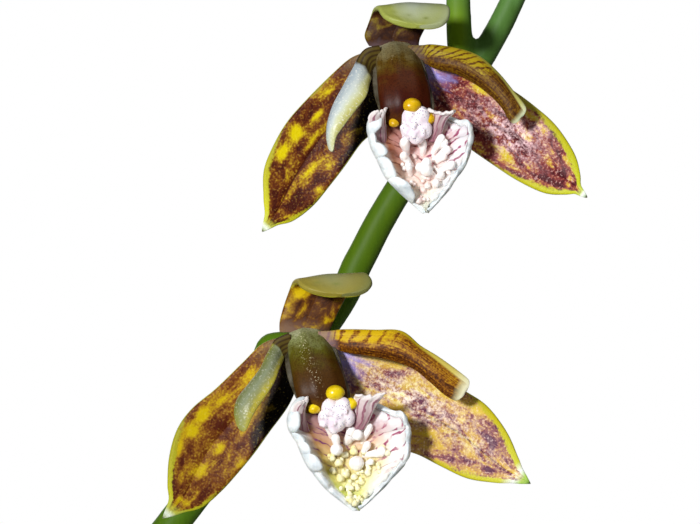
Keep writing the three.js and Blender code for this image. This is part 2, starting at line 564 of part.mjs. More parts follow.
function leaf({ bulb: bulbNumber, azimuth, length, lean, bend, width }) {
  const { x, y, apex, leanX, leanY } = BULBS[bulbNumber];
  const angle = radians(azimuth);
  const out = vector(Math.cos(angle), Math.sin(angle), 0);
  const side = vector(-Math.sin(angle), Math.cos(angle), 0);
  const up = vector(0, 0, 1);
  const foot = vector(x + leanX, y + leanY, apex + LEAF_FOOT_GAP);
  foot.addScaledVector(out, LEAF_FOOT_OFFSET);
  const spine = [foot.clone()];
  for (let i = 0; i < LEAF_SLICES; i++) {
    const share = (i + 0.5) / LEAF_SLICES;
    const tilt = lean * Math.min(1, share / LEAF_LEAN_SHARE) + bend * share ** LEAF_BEND_POWER;
    const next = spine[i].clone();
    next.addScaledVector(out, (Math.sin(radians(tilt)) * length) / LEAF_SLICES);
    next.addScaledVector(up, (Math.cos(radians(tilt)) * length) / LEAF_SLICES);
    spine.push(next);
  }
  const ribs = LEAF_PROFILE.map(([share, breadth]) => {
    const centre = spine[Math.round(share * LEAF_SLICES)];
    const half = (width / 2) * breadth;
    const first = centre.clone().addScaledVector(side, -half);
    const second = centre.clone().addScaledVector(side, half);
    return [...first.toArray(), ...second.toArray(), -LEAF_FOLD * half * (1 - share / 2)];
  });
  return blade(sheetOf(ribs), 12, 2, LEAF_THICKNESS);
}

// Flower stem with its pedicels and sheaths, grown as one piece

function flowerPoint({ centre, turn, size }, [x, y, z]) {
  const point = vector(x, y, z).multiplyScalar(size);
  point.applyAxisAngle(vector(0, 0, 1), radians(turn));
  return point.add(vector(...centre)).toArray();
}

function pedicel(points, place) {
  const ends = [flowerPoint(place, RECEPTACLE_BACK), flowerPoint(place, RECEPTACLE)];
  const path = [...points, ...ends];
  const radii = path.map((_, i) => (i < points.length ? PEDICEL_RADIUS : OVARY_RADIUS));
  radii[path.length - 1] = RECEPTACLE_RADIUS * place.size;
  const stations = path.map((point, i) => [...point, radii[i]]);
  return loft(stations, PEDICEL_SIDES, PEDICEL_STEPS, vector(0.9, -0.1, 0.42).normalize());
}

function flowerStem() {
  const main = loft(STEM.map(([x, z, radius]) => [x, STEM_Y, z, radius]), 8, STEM_STEPS, vector(0, 1, 0));
  const pedicels = [
    pedicel(UPPER_PEDICEL, UPPER_PLACE),
    pedicel(LOWER_PEDICEL, LOWER_PLACE),
    pedicel(TOP_PEDICEL, TOP_PLACE),
    loft(BUD_PEDICEL.map((point) => [...point, BUD_PEDICEL_RADIUS]), PEDICEL_SIDES, 4, vector(0, 1, 0)),
  ];
  const stemX = (z) => {
    const above = STEM.findIndex((station) => station[1] > z);
    const [low, high] = [STEM[above - 1], STEM[above]];
    return low[0] + ((high[0] - low[0]) * (z - low[1])) / (high[1] - low[1]);
  };
  const sheaths = SHEATHS.map(([z, length]) => {
    const stations = SHEATH_PROFILE.map(([share, radius]) => {
      const height = z + share * length;
      return [stemX(height), STEM_Y, height, radius];
    });
    return loft(stations, 8, 5, vector(0, 1, 0));
  });
  return fromSolid(fuse([main, ...pedicels, ...sheaths]));
}

function bud({ foot, apex, radius }) {
  const at = (share, breadth) => {
    const point = vector(...foot).lerp(vector(...apex), share);
    return [...point.toArray(), radius * breadth];
  };
  const stations = [at(0, 0.35), at(0.25, 0.85), at(0.5, 1), at(0.8, 0.7), at(1, 0.12)];
  return loft(stations, 8, 8, vector(0, 1, 0));
}

// Lip with its side lobes, callus and finger-like papillae

function lip(shape, detail) {
  const random = randomFrom(PAPILLA_SEED);
  const sheet = sheetOf(shape.lip, RUFFLE);
  const pieces = [
    blade(sheet, detail.lipSteps, 6, LIP_THICKNESS),
    blade(sheetOf(shape.earLeft), 4, 2, LIP_THICKNESS),
    blade(sheetOf(shape.earRight), 4, 2, LIP_THICKNESS),
    ...shape.callus.map((each) => lobe(...each)),
  ];
  const [first, last] = PAPILLA_ROWS;
  const { rows, perRow } = detail;
  for (let i = 0; i < rows; i++) {
    const u = first + ((last - first) * i) / (rows - 1);
    for (let j = 0; j < perRow; j++) {
      const v = 0.5 + PAPILLA_SPREAD * ((j + 0.5 + 0.4 * (random() - 0.5)) / perRow - 0.5);
      const normal = sheetNormal(sheet, u, v);
      const from = sheet(u, v);
      const to = from.clone().addScaledVector(normal, PAPILLA_LENGTH * (0.8 + 0.5 * random()));
      to.z += 0.25;
      pieces.push(finger(from.toArray(), to.toArray(), PAPILLA_RADIUS * (0.85 + 0.4 * random()), 5));
    }
  }
  return fromSolid(fuse(pieces));
}

function column(shape) {
  const teeth = shape.teeth.map(([ax, ay, az, bx, by, bz, radius]) => (
    finger([ax, ay, az], [bx, by, bz], radius, 7)
  ));
  return fromSolid(fuse([loft(shape.column, 10, 8), ...teeth]));
}

function addFlower(name, shape, place, detail) {
  const flower = new THREE.Group();
  flower.position.set(...place.centre);
  flower.rotation.z = radians(place.turn);
  flower.scale.setScalar(place.size);
  const tepals = {
    dorsal_sepal: shape.dorsal,
    sepal_left: shape.sepalLeft,
    sepal_right: shape.sepalRight,
    petal_left: shape.petalLeft,
    petal_right: shape.petalRight,
  };
  for (const [part, ribs] of Object.entries(tepals)) {
    const geometry = blade(sheetOf(ribs), detail.steps, detail.across, TEPAL_THICKNESS);
    addPiece(flower, `${name}_${part}`, geometry, TEPAL);
  }
  addPiece(flower, `${name}_lip`, lip(shape, detail), LIP);
  addPiece(flower, `${name}_column`, column(shape), COLUMN);
  plant.add(flower);
}

const FULL_DETAIL = { steps: 10, across: 4, lipSteps: 13, rows: 4, perRow: 3 };
const PLAIN_DETAIL = { steps: 8, across: 3, lipSteps: 9, rows: 3, perRow: 2 };

addPiece(plant, 'pot', pot(), TERRACOTTA);
addPiece(plant, 'bark', bark(), BARK);
addPiece(plant, 'rhizome', rhizomeWithSockets(), RHIZOME);
BULBS.forEach((each, i) => addPiece(plant, `pseudobulb_${i + 1}`, bulb(each), BULB));
LEAVES.forEach((each, i) => addPiece(plant, `leaf_${i + 1}`, leaf(each), LEAF));
addPiece(plant, 'flower_stem', flowerStem(), STALK);
addFlower('upper', UPPER_FLOWER, UPPER_PLACE, FULL_DETAIL);
addFlower('lower', LOWER_FLOWER, LOWER_PLACE, FULL_DETAIL);
addFlower('top', UPPER_FLOWER, TOP_PLACE, PLAIN_DETAIL);
BUDS.forEach((each) => addPiece(plant, each.name, bud(each), BUD));

export default plant;
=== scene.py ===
"""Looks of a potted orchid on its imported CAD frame. Metres, +Z up, the flowers look towards -Y."""
import math
from functools import partial

import bmesh
import bpy
from mathutils import Matrix, Vector, noise


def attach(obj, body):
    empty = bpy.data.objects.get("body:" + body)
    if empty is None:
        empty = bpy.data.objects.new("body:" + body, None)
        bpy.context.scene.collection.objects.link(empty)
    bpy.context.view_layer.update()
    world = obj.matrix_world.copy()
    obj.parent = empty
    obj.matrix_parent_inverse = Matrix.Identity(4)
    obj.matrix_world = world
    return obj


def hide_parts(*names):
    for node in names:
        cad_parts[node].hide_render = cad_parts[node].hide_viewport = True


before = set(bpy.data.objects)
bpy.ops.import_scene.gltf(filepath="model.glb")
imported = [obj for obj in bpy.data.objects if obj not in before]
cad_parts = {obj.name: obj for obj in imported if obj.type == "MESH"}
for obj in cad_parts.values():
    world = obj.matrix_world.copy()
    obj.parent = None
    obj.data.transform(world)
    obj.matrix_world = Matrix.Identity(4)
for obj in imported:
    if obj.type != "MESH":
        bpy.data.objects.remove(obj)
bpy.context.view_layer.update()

bl_info = {
    "name": "Potted Prosthechea Livida",
    "version": (1, 0, 0),
    "blender": (4, 5, 0),
    "location": "View3D > Sidebar > Orchid",
    "description": "Finishes a potted orchid with two open flowers over its CAD frame",
    "category": "Add Mesh",
}

MM = 0.001
UP = Vector((0, 0, 1))
WHOLE = Matrix.Scale(MM, 4)
# A Mix node that mixes colours, and its output for them
AS_COLOUR = {"data_type": "RGBA", "out": 2}

# Thickness of a sheet's edge as a share, and how steeply it rises from the sides and the tip
THIN_EDGE = 0.35
SIDE_RISE = 4
TIP_RISE = 5
# Step along a curve that gives its direction
TANGENT_STEP = 0.01
# Height on a ball of radius 1 above which a corner is its pole
POLE_HEIGHT = 0.99999
LEAST_RADIUS = 1e-4
LEAST_CAP = 0.02
# Corners closer than this, in metres, become one
WELD = 1e-6

# Sizes below are in millimetres, as in the part's source, and are scaled to metres in the mesh.
POT_SIDES = 128
BARK_SIDES = 72
BARK_TOP = 74
BARK_GAP = 0.3
BARK_RINGS = 14
BARK_ROUGHNESS = 1.4
CHIP_COUNT = 26
CHIP_SIZE = (20, 12.5, 6)
CHIP_SEED = 11
CHIP_TILT = 0.7
CHIP_TAPER = 0.7
CHIP_RISE = 2.5
CHIP_CEILING = 7.5
CHIP_WEAR = 0.27
# Crumbs are chips of this share of the size, strewn over the chips and a little higher
CRUMB_COUNT = 90
CRUMB_SHARE = 0.42
CRUMB_RISE = 1.2
# Turn from each chip to the next, which spreads them evenly over the pot
GOLDEN_TURN = math.pi * (3 - math.sqrt(5))

RHIZOME_HEIGHT = 78
RHIZOME_RADIUS = 3
BULB_FOOT = 79.5
BULB_NECK = 3.3
# Share of the height, and breadth there as a share of the greatest, up to the neck
BULB_PROFILE = [(0, 0.34), (0.06, 0.56), (0.18, 0.86), (0.36, 1), (0.56, 0.88), (0.76, 0.64)]
BULB_NECK_START = 0.92
BULB_ROWS = 24
BULB_FLATNESS = 0.86
# The neck's soft top stands round the feet of the leaves
BULB_COLLAR = 2.4
# Foot x, foot y, apex height, width and lean of the apex in x and y
BULBS = [
    (-33, -16, 128, 13.5, -6, -3), (-24, -3, 139, 14.5, -5, -1), (-13, 6, 150, 15.5, -4, -1),
    (3, 10, 143, 14.5, 1, 5), (18, 1, 136, 14, 4, 1), (28, -13, 121, 12.5, 6, -3),
]
# How far up the bulb each layer of husk reaches, and where round the bulb it starts
HUSKS = ((0.5, 0.3), (0.3, 3.4))
HUSK_WRAP = 5.3
HUSK_THICKNESS = 0.25
# Foot x, foot y, direction and reach
ROOTS = [(-28, -9, 290, 17), (-18, 3, 130, 16), (-5, 10, 265, 20), (10, 6, 285, 18), (24, -6, 40, 15)]
ROOT_RADIUS = 1.1
# Share of a root's run, and its height over the rhizome's there
ROOT_DROPS = ((0, 0), (0.35, 1.6), (0.7, -0.6), (0.95, -6))

LEAF_THICKNESS = 0.8
LEAF_FOOT_OFFSET = 2.1
LEAF_FOOT_GAP = 0.45
LEAF_SLICES = 60
LEAF_LEAN_SHARE = 0.25
LEAF_BEND_POWER = 1.4
LEAF_FOLD = 0.3
# Bulb, azimuth, length, lean at the foot, bend to the tip and width
LEAVES = [
    (0, 212, 118, 14, 70, 12), (1, 162, 146, 12, 50, 13), (1, 272, 120, 14, 84, 12.5),
    (2, 118, 146, 9, 50, 13.5), (2, 262, 132, 12, 92, 13), (3, 42, 120, 27, 92, 13),
    (3, 160, 112, 24, 84, 12), (4, 20, 130, 30, 76, 13), (4, 262, 108, 30, 84, 12.5),
    (5, 345, 92, 34, 60, 11.5),
]
# Share of the length, and half width there as a share of the greatest
LEAF_PROFILE = [(0, 0.36), (0.14, 0.6), (0.38, 0.96), (0.62, 1), (0.82, 0.72), (0.95, 0.3), (1, 0.06)]

STEM_Y = 5
# x, z and radius
STEM = [
    (-17, 150.3, 1.5), (-15.6, 164, 1.25), (-11, 179, 1.15), (-5, 190.8, 1.1), (1, 200, 1.08),
    (6.9, 207.6, 1.06), (16.35, 220, 1), (18.6, 224.1, 0.97), (20.6, 227.8, 0.93), (25.9, 236.2, 0.84),
    (28.2, 240.4, 0.78), (30, 245, 0.7), (31.2, 249.5, 0.6),
]
PEDICEL_RADIUS = 0.62
OVARY_RADIUS = 0.95
RECEPTACLE_RADIUS = 1.15
BUD_PEDICEL_RADIUS = 0.5
# The stalk of the third flower is thicker where the photo shows it
TOP_STALK_RADII = [0.86, 0.83, 0.74]
# A brighter yellow-green stretch is painted light on it, where the upper flower shades it: its middle, x and
# z, and how far it reaches either way
PAINTED_LIGHT_CENTRE = (24.7, 238.2)
PAINTED_LIGHT_REACH = (1.6, 5)
# Fineness of the mesh that grows the stem's parts together
STEM_VOXEL = 0.19
STEM_SMOOTHING = 8
RECEPTACLE = (0, 0.65, -0.6)
RECEPTACLE_BACK = (0, 2, -0.85)
# Middle of the flower, its turn about the upright and its size
UPPER_PLACE = ((21, 0, 237.4), 0, 1)
LOWER_PLACE = ((15.4, 0, 219.5), 0, 1)
TOP_PLACE = ((23, 0.5, 254.2), -42, 0.93)
UPPER_PEDICEL = [(23.4, 5, 232.2), (22.2, 4.7, 234.2), (21.3, 3.6, 236.2)]
LOWER_PEDICEL = [(12.6, 5, 215.1), (12.4, 4.7, 217.2), (12.9, 3.6, 218.9)]
TOP_PEDICEL = [(25.3, 5, 235.4), (24.9, 4.6, 238.4), (24.8, 4.4, 243), (24.6, 4, 249)]
BUD_PEDICEL = [(30, 5, 245), (32.2, 5.6, 247.2), (34, 6, 248.4)]
# Foot, apex and radius
BUDS = {
    "bud_tip": ((31.6, 5, 250), (33.4, 4.6, 257.5), 1.9),
    "bud_side": ((34.4, 6.05, 248.8), (38.6, 6.6, 252.6), 1.5),
}
BUD_PROFILE = ((0, 0.35), (0.25, 0.85), (0.5, 1), (0.8, 0.7), (1, 0.12))
# Foot and length
SHEATHS = [(161, 11), (180, 9)]
SHEATH_RADIUS = 1.35
SHEATH_WRAP = 6.1
SHEATH_THICKNESS = 0.22

# A tepal is a row of ribs from its foot to its tip. A rib is x, y, z of both its ends from the
# flower's middle, then how far its own middle stands forward.
UPPER_FLOWER = {
    "dorsal_sepal": [
        (1.3, 0.05, 0.1, -1.8, 0.05, 0.1, 0), (1.4, -0.05, 0.6, -2.1, -0.05, 0.7, -0.1),
        (1.9, -0.2, 1.5, -1.9, -0.1, 1.4, -0.2), (2.6, -0.5, 2.4, -1.6, -0.4, 2.1, -0.2),
        (3.2, -1.6, 2.3, -1.3, -1.4, 2.3, -0.1), (3.1, -2.5, 1.6, -0.9, -2.2, 1.8, 0.1),
        (2.4, -3, 1.1, 0.1, -2.7, 1.3, 0),
    ],
    "sepal_left": [
        (-1.7, 0, -0.2, -0.9, 0, -2.2, 0), (-2.9, 0.1, -0.6, -0.8, 0.1, -3.3, -0.15),
        (-4.1, 0.2, -1.6, -1.3, 0.1, -5, -0.3), (-5.8, 0.2, -3.3, -2.3, 0, -6, -0.35),
        (-7, 0.1, -4.7, -3.3, -0.1, -7.4, -0.35), (-7.9, 0, -6.3, -4.3, -0.2, -8.7, -0.3),
        (-8.4, -0.2, -7.7, -5.3, -0.3, -9.9, -0.25), (-8.4, -0.4, -9.3, -6.5, -0.5, -10.8, -0.1),
        (-8.3, -0.6, -10.5, -7.6, -0.6, -11.1, 0), (-8.6, -0.8, -11.4, -8.35, -0.8, -11.6, 0),
    ],
    "sepal_right": [
        (0.9, 0, -2.4, 1.7, 0, -0.3, 0), (1.4, 0.1, -3.9, 3.6, 0.1, -0.9, -0.15),
        (2.6, 0.1, -4.9, 5.2, 0.2, -1.5, -0.3), (4.3, 0, -6.2, 7.1, 0.2, -2.6, -0.35),
        (5.8, -0.1, -7.25, 8.6, 0.1, -3.7, -0.35), (7.4, -0.2, -8.3, 9.9, 0, -4.9, -0.3),
        (9.1, -0.4, -9.1, 11, -0.2, -6.6, -0.25), (10.4, -0.5, -9.2, 11.35, -0.4, -7.9, -0.1),
        (11.1, -0.6, -9.15, 11.4, -0.6, -8.7, 0), (11.65, -0.8, -9.5, 11.85, -0.8, -9.25, 0),
    ],
    "petal_left": [
        (-1.2, -0.7, 0.1, -0.8, -0.7, -1.1, 0), (-2, -0.95, -0.1, -1.5, -0.95, -1.3, 0),
        (-2.5, -1.1, -0.7, -1.7, -1.2, -1.8, 0.1),
        (-2.8, -1.7, -1.4, -1.9, -2, -2.4, 0.2), (-3.4, -2.3, -2.6, -2, -2.9, -3.1, 0.3),
        (-4, -2.8, -3.75, -2.6, -3.4, -3.9, 0.3), (-4.3, -3.2, -4.8, -3.3, -3.7, -4.8, 0.25),
        (-4.3, -3.4, -5.7, -3.85, -3.8, -5.6, 0.1), (-4.14, -3.6, -6.55, -4.02, -3.65, -6.58, 0),
    ],
    "petal_right": [
        (0.8, -0.7, -1, 0.6, -0.7, 0.1, 0), (1.7, -0.95, -1, 1.5, -0.95, 0.1, 0),
        (2.4, -1.1, -1.3, 2.25, -1.1, 0.1, 0.15), (3.6, -1.4, -1.6, 3.9, -1.3, -0.2, 0.25),
        (4.9, -1.7, -2.3, 5.1, -1.6, -0.7, 0.25),
        (5.9, -2, -3.1, 6.2, -1.8, -1.7, 0.25), (6.6, -2.2, -3.9, 7.1, -2.1, -2.8, 0.2),
        (6.9, -2.4, -4.5, 7.7, -2.3, -3.5, 0.1), (7.25, -2.5, -4.9, 8, -2.4, -4, 0),
    ],
    "lip": [
        (0, -1, -2.9, 0.9, -1, -3.3, 0), (0, -1.5, -4, 2.3, -1.5, -4.4, -0.2),
        (-1.6, -2.6, -5, 4.1, -2.6, -4.95, -0.9), (-1.7, -3, -5.8, 4.5, -3, -5.4, -1.3),
        (-1.4, -3.1, -6.6, 4.4, -3.1, -6.2, -1.4), (-1, -3.2, -7.4, 4.1, -3.2, -7.2, -1),
        (-0.5, -3.2, -8.3, 3.5, -3.2, -8.1, -0.65), (0.25, -3.3, -9.1, 2.9, -3.3, -9, -0.35),
        (0.95, -3.4, -9.7, 2.3, -3.4, -9.65, -0.15), (1.66, -3.5, -10.3, 1.74, -3.5, -10.3, 0),
    ],
    "ear_left": [
        (-1.5, -2.8, -6, -0.8, -2.5, -6.1, -0.1), (-1.75, -3.4, -5.1, -0.8, -2.9, -5.2, -0.25),
        (-1.9, -3.8, -4.5, -0.85, -3.2, -4.4, -0.3), (-1.65, -3.9, -3.95, -0.8, -3.3, -3.75, -0.15),
    ],
    "ear_right": [
        (1.8, -2.3, -5.9, 2.6, -2.6, -5.9, -0.1), (2.15, -2.7, -5.1, 2.8, -3, -5.05, -0.2),
        (2.2, -2.9, -4.45, 3.05, -3.2, -4.5, -0.25), (2.05, -3, -4, 3.4, -3.3, -4.2, -0.3),
        (1.85, -3.1, -3.75, 3.6, -3.6, -3.95, -0.3), (1.95, -3.4, -3.65, 3.45, -4, -3.85, -0.1),
    ],
    "callus": [
        (0.72, -3.15, -4.45, 0.56), (1.42, -3.15, -4.4, 0.56), (0.62, -3.05, -5.15, 0.5),
        (1.62, -3.05, -5.15, 0.5), (1.1, -3.1, -5.5, 0.5),
    ],
    # Middle and half width and depth, from the foot to the anther
    "column": [
        (-0.15, 0.9, 0.1, 0.9, 0.5), (-0.1, 0.1, -0.2, 1.15, 0.7), (-0.02, -0.8, -0.8, 1.3, 0.85),
        (0.12, -1.6, -1.7, 1.36, 0.95), (0.3, -2.3, -2.7, 1.44, 0.9), (0.4, -2.7, -3.6, 1.4, 0.8),
        (0.44, -2.75, -4.3, 1.36, 0.6), (0.5, -2.6, -4.8, 1.1, 0.45),
    ],
    # Thin clear margins along both sides of the column
    "wings": [
        [
            (-0.9, -0.5, -0.4, -1.25, -0.4, -0.5, 0), (-1.0, -1.2, -1.3, -1.55, -1.1, -1.4, 0),
            (-0.95, -1.9, -2.6, -1.55, -1.8, -2.8, 0), (-0.8, -2.5, -3.7, -1.2, -2.45, -4.0, 0),
        ],
        [
            (0.9, -0.5, 0, 1.3, -0.4, 0, 0), (1.2, -1.2, -1.1, 1.6, -1.1, -1, 0),
            (1.5, -1.9, -2.3, 2, -1.8, -2.4, 0), (1.6, -2.5, -3.4, 2.25, -2.45, -3.6, 0),
            (1.6, -2.6, -4.2, 2.05, -2.55, -4.5, 0),
        ],
    ],
    # From, to and radius
    "teeth": [
        (0.75, -2.9, -3.35, 0.88, -3.5, -3.78, 0.5), (-0.28, -2.85, -4.3, -0.26, -3.05, -4.85, 0.28),
        (1.75, -2.9, -4.2, 1.98, -3.15, -4.62, 0.32),
    ],
    # Foot x and z and tip x and z, as seen from the front, and radius
    "papillae": [
        (0.62, -6.75, 0.4, -6, 0.3), (1.62, -6.75, 1.5, -6, 0.31), (0.9, -7.5, 0.35, -6.85, 0.26),
        (0.8, -8.1, 0.62, -7.45, 0.22), (1.7, -7.8, 1.75, -7.25, 0.3), (1.6, -7.9, 1.35, -7.55, 0.3),
        (1.8, -7.9, 1.75, -7.72, 0.4), (1.9, -8, 2.05, -8, 0.32), (1.1, -7.1, 1, -6.9, 0.2),
        (2.15, -6.7, 2.65, -5.8, 0.3), (2.3, -6.6, 2.85, -6, 0.24), (2.2, -7.2, 2.95, -6.5, 0.26),
        (2.3, -7.3, 2.8, -6.85, 0.24), (2.45, -7.8, 3.25, -7.4, 0.25), (2.4, -8.2, 2.65, -8, 0.22),
        (2.2, -8.7, 2.35, -8.5, 0.24), (1.9, -8.9, 1.8, -8.7, 0.22), (3, -8.1, 3.1, -7.9, 0.18),
    ],
    # Along the left and the right margin of the lip: middle and half length of each lobe as shares
    # of the lip's length, and how far it curls
    "frills": [
        [(0.27, 0.05, 1), (0.35, 0.04, 0.6), (0.44, 0.065, 0.95), (0.58, 0.085, 0.9), (0.76, 0.12, 1)],
        [(0.12, 0.06, 0.8), (0.21, 0.05, 1), (0.3, 0.05, 0.7), (0.39, 0.05, 0.8), (0.49, 0.06, 0.7),
         (0.6, 0.06, 0.8), (0.71, 0.06, 0.7), (0.83, 0.07, 0.6)],
    ],
}
LOWER_FLOWER = {
    "dorsal_sepal": [
        (1.3, 0.05, 0.1, -1.8, 0.05, 0.1, 0), (1.6, -0.05, 0.8, -1.8, -0.05, 0.8, -0.1),
        (2.1, -0.2, 1.8, -1.5, -0.1, 1.9, -0.2), (2.8, -0.5, 3, -1.1, -0.4, 2.9, -0.2),
        (3.6, -1.6, 3.6, -0.75, -1.4, 3.2, -0.1), (4, -2.5, 3.1, -0.4, -2.2, 2.9, 0.1),
        (3.4, -3, 2.4, 0.6, -2.7, 2.4, 0),
    ],
    "sepal_left": [
        (-1.7, 0, -0.2, -0.9, 0, -2.2, 0), (-2.9, 0.1, -0.6, -0.8, 0.1, -3.4, -0.15),
        (-4.1, 0.2, -1.75, -1.3, 0.1, -4.6, -0.3), (-5.8, 0.2, -3.4, -2.4, 0, -6.1, -0.35),
        (-7.25, 0.1, -4.6, -3.4, -0.1, -7.5, -0.35), (-8.2, 0, -5.9, -4.4, -0.2, -8.7, -0.3),
        (-8.7, -0.2, -7.6, -5.4, -0.3, -9.8, -0.25), (-8.8, -0.4, -9.3, -6.6, -0.5, -10.8, -0.1),
        (-8.7, -0.6, -10.4, -7.8, -0.6, -11.1, 0), (-9.2, -0.8, -11.4, -9, -0.8, -11.6, 0),
    ],
    "sepal_right": [
        (0.9, 0, -2.4, 1.7, 0, -0.3, 0), (1.5, 0.1, -4.1, 3.6, 0.1, -0.9, -0.15),
        (3.1, 0.1, -5.7, 5.75, 0.2, -1.6, -0.3), (5.1, 0, -7, 7.9, 0.2, -2.5, -0.35),
        (6.75, -0.1, -7.5, 9.9, 0.1, -3.6, -0.35), (8.25, -0.2, -8.25, 11.2, 0, -4.5, -0.3),
        (9.9, -0.4, -9, 12.4, -0.2, -6.1, -0.25), (11.6, -0.5, -9.25, 13.1, -0.4, -7.7, -0.1),
        (12.8, -0.6, -9.25, 13.4, -0.6, -8.5, 0), (13.75, -0.8, -9.4, 13.9, -0.8, -9.2, 0),
    ],
    "petal_left": [
        (-1.2, -0.7, 0.05, -0.8, -0.7, -1.1, 0), (-2, -0.95, -0.3, -1.5, -0.95, -1.4, 0),
        (-2.3, -1.1, -0.8, -1.7, -1.2, -1.7, 0.1),
        (-2.6, -1.7, -1.4, -1.9, -2, -2.2, 0.2), (-2.9, -2.2, -2.2, -2.1, -2.8, -2.9, 0.25),
        (-3.6, -2.7, -3.1, -2.5, -3.3, -3.6, 0.25), (-4.3, -3.1, -4, -3.1, -3.6, -4.4, 0.25),
        (-4.5, -3.4, -4.9, -3.5, -3.8, -5.1, 0.1), (-4.2, -3.6, -5.9, -3.9, -3.7, -6.1, 0),
    ],
    "petal_right": [
        (0.8, -0.7, -0.9, 0.6, -0.7, 0.15, 0), (1.7, -0.95, -0.9, 1.5, -0.95, 0.2, 0),
        (2.5, -1.1, -1.1, 2.3, -1.1, 0.25, 0.15), (3.9, -1.4, -1.3, 4.2, -1.3, 0.2, 0.25),
        (5.25, -1.7, -1.6, 5.8, -1.6, 0.15, 0.25),
        (6.6, -2, -2.1, 6.9, -1.8, -0.75, 0.25), (7.6, -2.2, -2.9, 8, -2.1, -1.4, 0.2),
        (8.6, -2.4, -3.8, 9.3, -2.3, -2.3, 0.1), (9.4, -2.5, -4.2, 10.2, -2.4, -3, 0),
    ],
    "lip": [
        (0.1, -1, -2.9, 1, -1, -3.3, 0), (0.4, -1.5, -4, 3.3, -1.5, -4.5, -0.2),
        (-0.9, -2.6, -5, 5.5, -2.6, -5.05, -0.9), (-1.1, -3, -5.8, 6.15, -3, -5.7, -1.3),
        (-0.6, -3.1, -6.6, 6.2, -3.1, -6.4, -1.4), (-0.2, -3.2, -7.5, 6.1, -3.2, -7.6, -1.3),
        (0.4, -3.2, -8.5, 5.4, -3.2, -8.5, -1.1), (1.2, -3.3, -9.5, 4.5, -3.3, -9.5, -0.7),
        (2.15, -3.4, -10.25, 3.75, -3.4, -10.2, -0.3), (2.96, -3.5, -10.85, 3.04, -3.5, -10.85, 0),
    ],
    "ear_left": [
        (-0.8, -2.8, -6, 0.1, -2.5, -6.1, -0.1), (-1.05, -3.4, -5.1, -0.2, -2.9, -5.2, -0.25),
        (-0.95, -3.8, -4.5, -0.2, -3.2, -4.4, -0.3), (-0.65, -3.9, -4, -0.15, -3.3, -3.75, -0.15),
    ],
    "ear_right": [
        (2.6, -2.3, -5.9, 3.5, -2.6, -5.9, -0.1), (2.9, -2.7, -5.1, 3.9, -3, -5.1, -0.2),
        (2.95, -2.9, -4.4, 4.15, -3.2, -4.5, -0.3), (2.85, -3, -3.9, 4.5, -3.3, -4, -0.2),
        (2.95, -3.3, -3.6, 4.85, -3.6, -3.45, 0),
    ],
    "callus": [
        (1.35, -3.15, -4.6, 0.56), (2.15, -3.15, -4.55, 0.56), (1.05, -3.05, -5.2, 0.46),
        (2.45, -3.05, -5.15, 0.48), (1.8, -3.1, -5.35, 0.6), (1.6, -3.05, -5.75, 0.34),
    ],
    "column": [
        (-0.2, 0.9, 0.1, 0.9, 0.5), (-0.12, 0.1, -0.2, 1.15, 0.7), (0.05, -0.8, -0.8, 1.28, 0.85),
        (0.28, -1.6, -1.7, 1.34, 0.95), (0.58, -2.3, -2.7, 1.42, 0.9), (0.8, -2.7, -3.6, 1.4, 0.8),
        (0.92, -2.75, -4.3, 1.34, 0.6), (1, -2.6, -4.8, 1.05, 0.45),
    ],
    "wings": [
        [
            (-0.9, -0.5, -0.4, -1.25, -0.4, -0.5, 0), (-0.9, -1.2, -1.3, -1.45, -1.1, -1.4, 0),
            (-0.75, -1.9, -2.6, -1.25, -1.8, -2.8, 0), (-0.5, -2.5, -3.7, -0.75, -2.45, -4.0, 0),
        ],
        [
            (0.9, -0.5, 0, 1.3, -0.4, 0, 0), (1.3, -1.2, -1.1, 1.8, -1.1, -1, 0),
            (1.7, -1.9, -2.3, 2.25, -1.8, -2.4, 0), (2, -2.5, -3.4, 2.6, -2.45, -3.6, 0),
            (2.1, -2.6, -4.2, 2.5, -2.55, -4.5, 0),
        ],
    ],
    "teeth": [
        (1.55, -2.9, -3.3, 1.72, -3.5, -3.7, 0.52), (0.3, -2.9, -4.15, 0.42, -3.15, -4.7, 0.34),
        (2.5, -2.9, -4, 2.78, -3.15, -4.42, 0.32),
    ],
    "papillae": [
        (1.5, -6.6, 1.3, -5.75, 0.28), (1.85, -7.4, 1.7, -6.5, 0.27), (1.85, -7.4, 1.75, -7.15, 0.34),
        (1.95, -8.2, 1.9, -8, 0.28), (1.7, -8.6, 1.5, -8.5, 0.32), (2.3, -6.9, 2.7, -6.05, 0.36),
        (2.5, -6.6, 3.05, -6.25, 0.34), (3.1, -6.4, 3.3, -5.7, 0.28), (3.35, -6.8, 3.8, -5.8, 0.23),
        (3.3, -7.4, 3.65, -6.9, 0.25), (3.4, -7.6, 4.5, -7.3, 0.27), (2.9, -8.1, 3, -8, 0.46),
        (3.6, -8.1, 3.85, -7.95, 0.19), (2.4, -8.8, 2.3, -8.7, 0.27), (2.8, -9, 2.85, -8.9, 0.27),
        (3.2, -9.3, 3.3, -9.2, 0.25), (2.1, -9, 2, -8.95, 0.26), (2.6, -9.5, 2.55, -9.4, 0.22),
        (3, -9.7, 3.05, -9.6, 0.2), (2.4, -7.7, 2.35, -7.5, 0.2),
    ],
    "frills": [
        [(0.22, 0.04, 0.9), (0.31, 0.07, 0.9), (0.43, 0.05, 0.7), (0.51, 0.05, 0.8),
         (0.6, 0.06, 1), (0.72, 0.07, 0.5), (0.85, 0.07, 0.45)],
        [(0.1, 0.05, 0.8), (0.18, 0.045, 1), (0.26, 0.045, 0.8), (0.34, 0.045, 0.7), (0.43, 0.05, 0.8),
         (0.53, 0.06, 0.7), (0.64, 0.06, 0.8), (0.75, 0.06, 0.6), (0.86, 0.07, 0.6)],
    ],
}
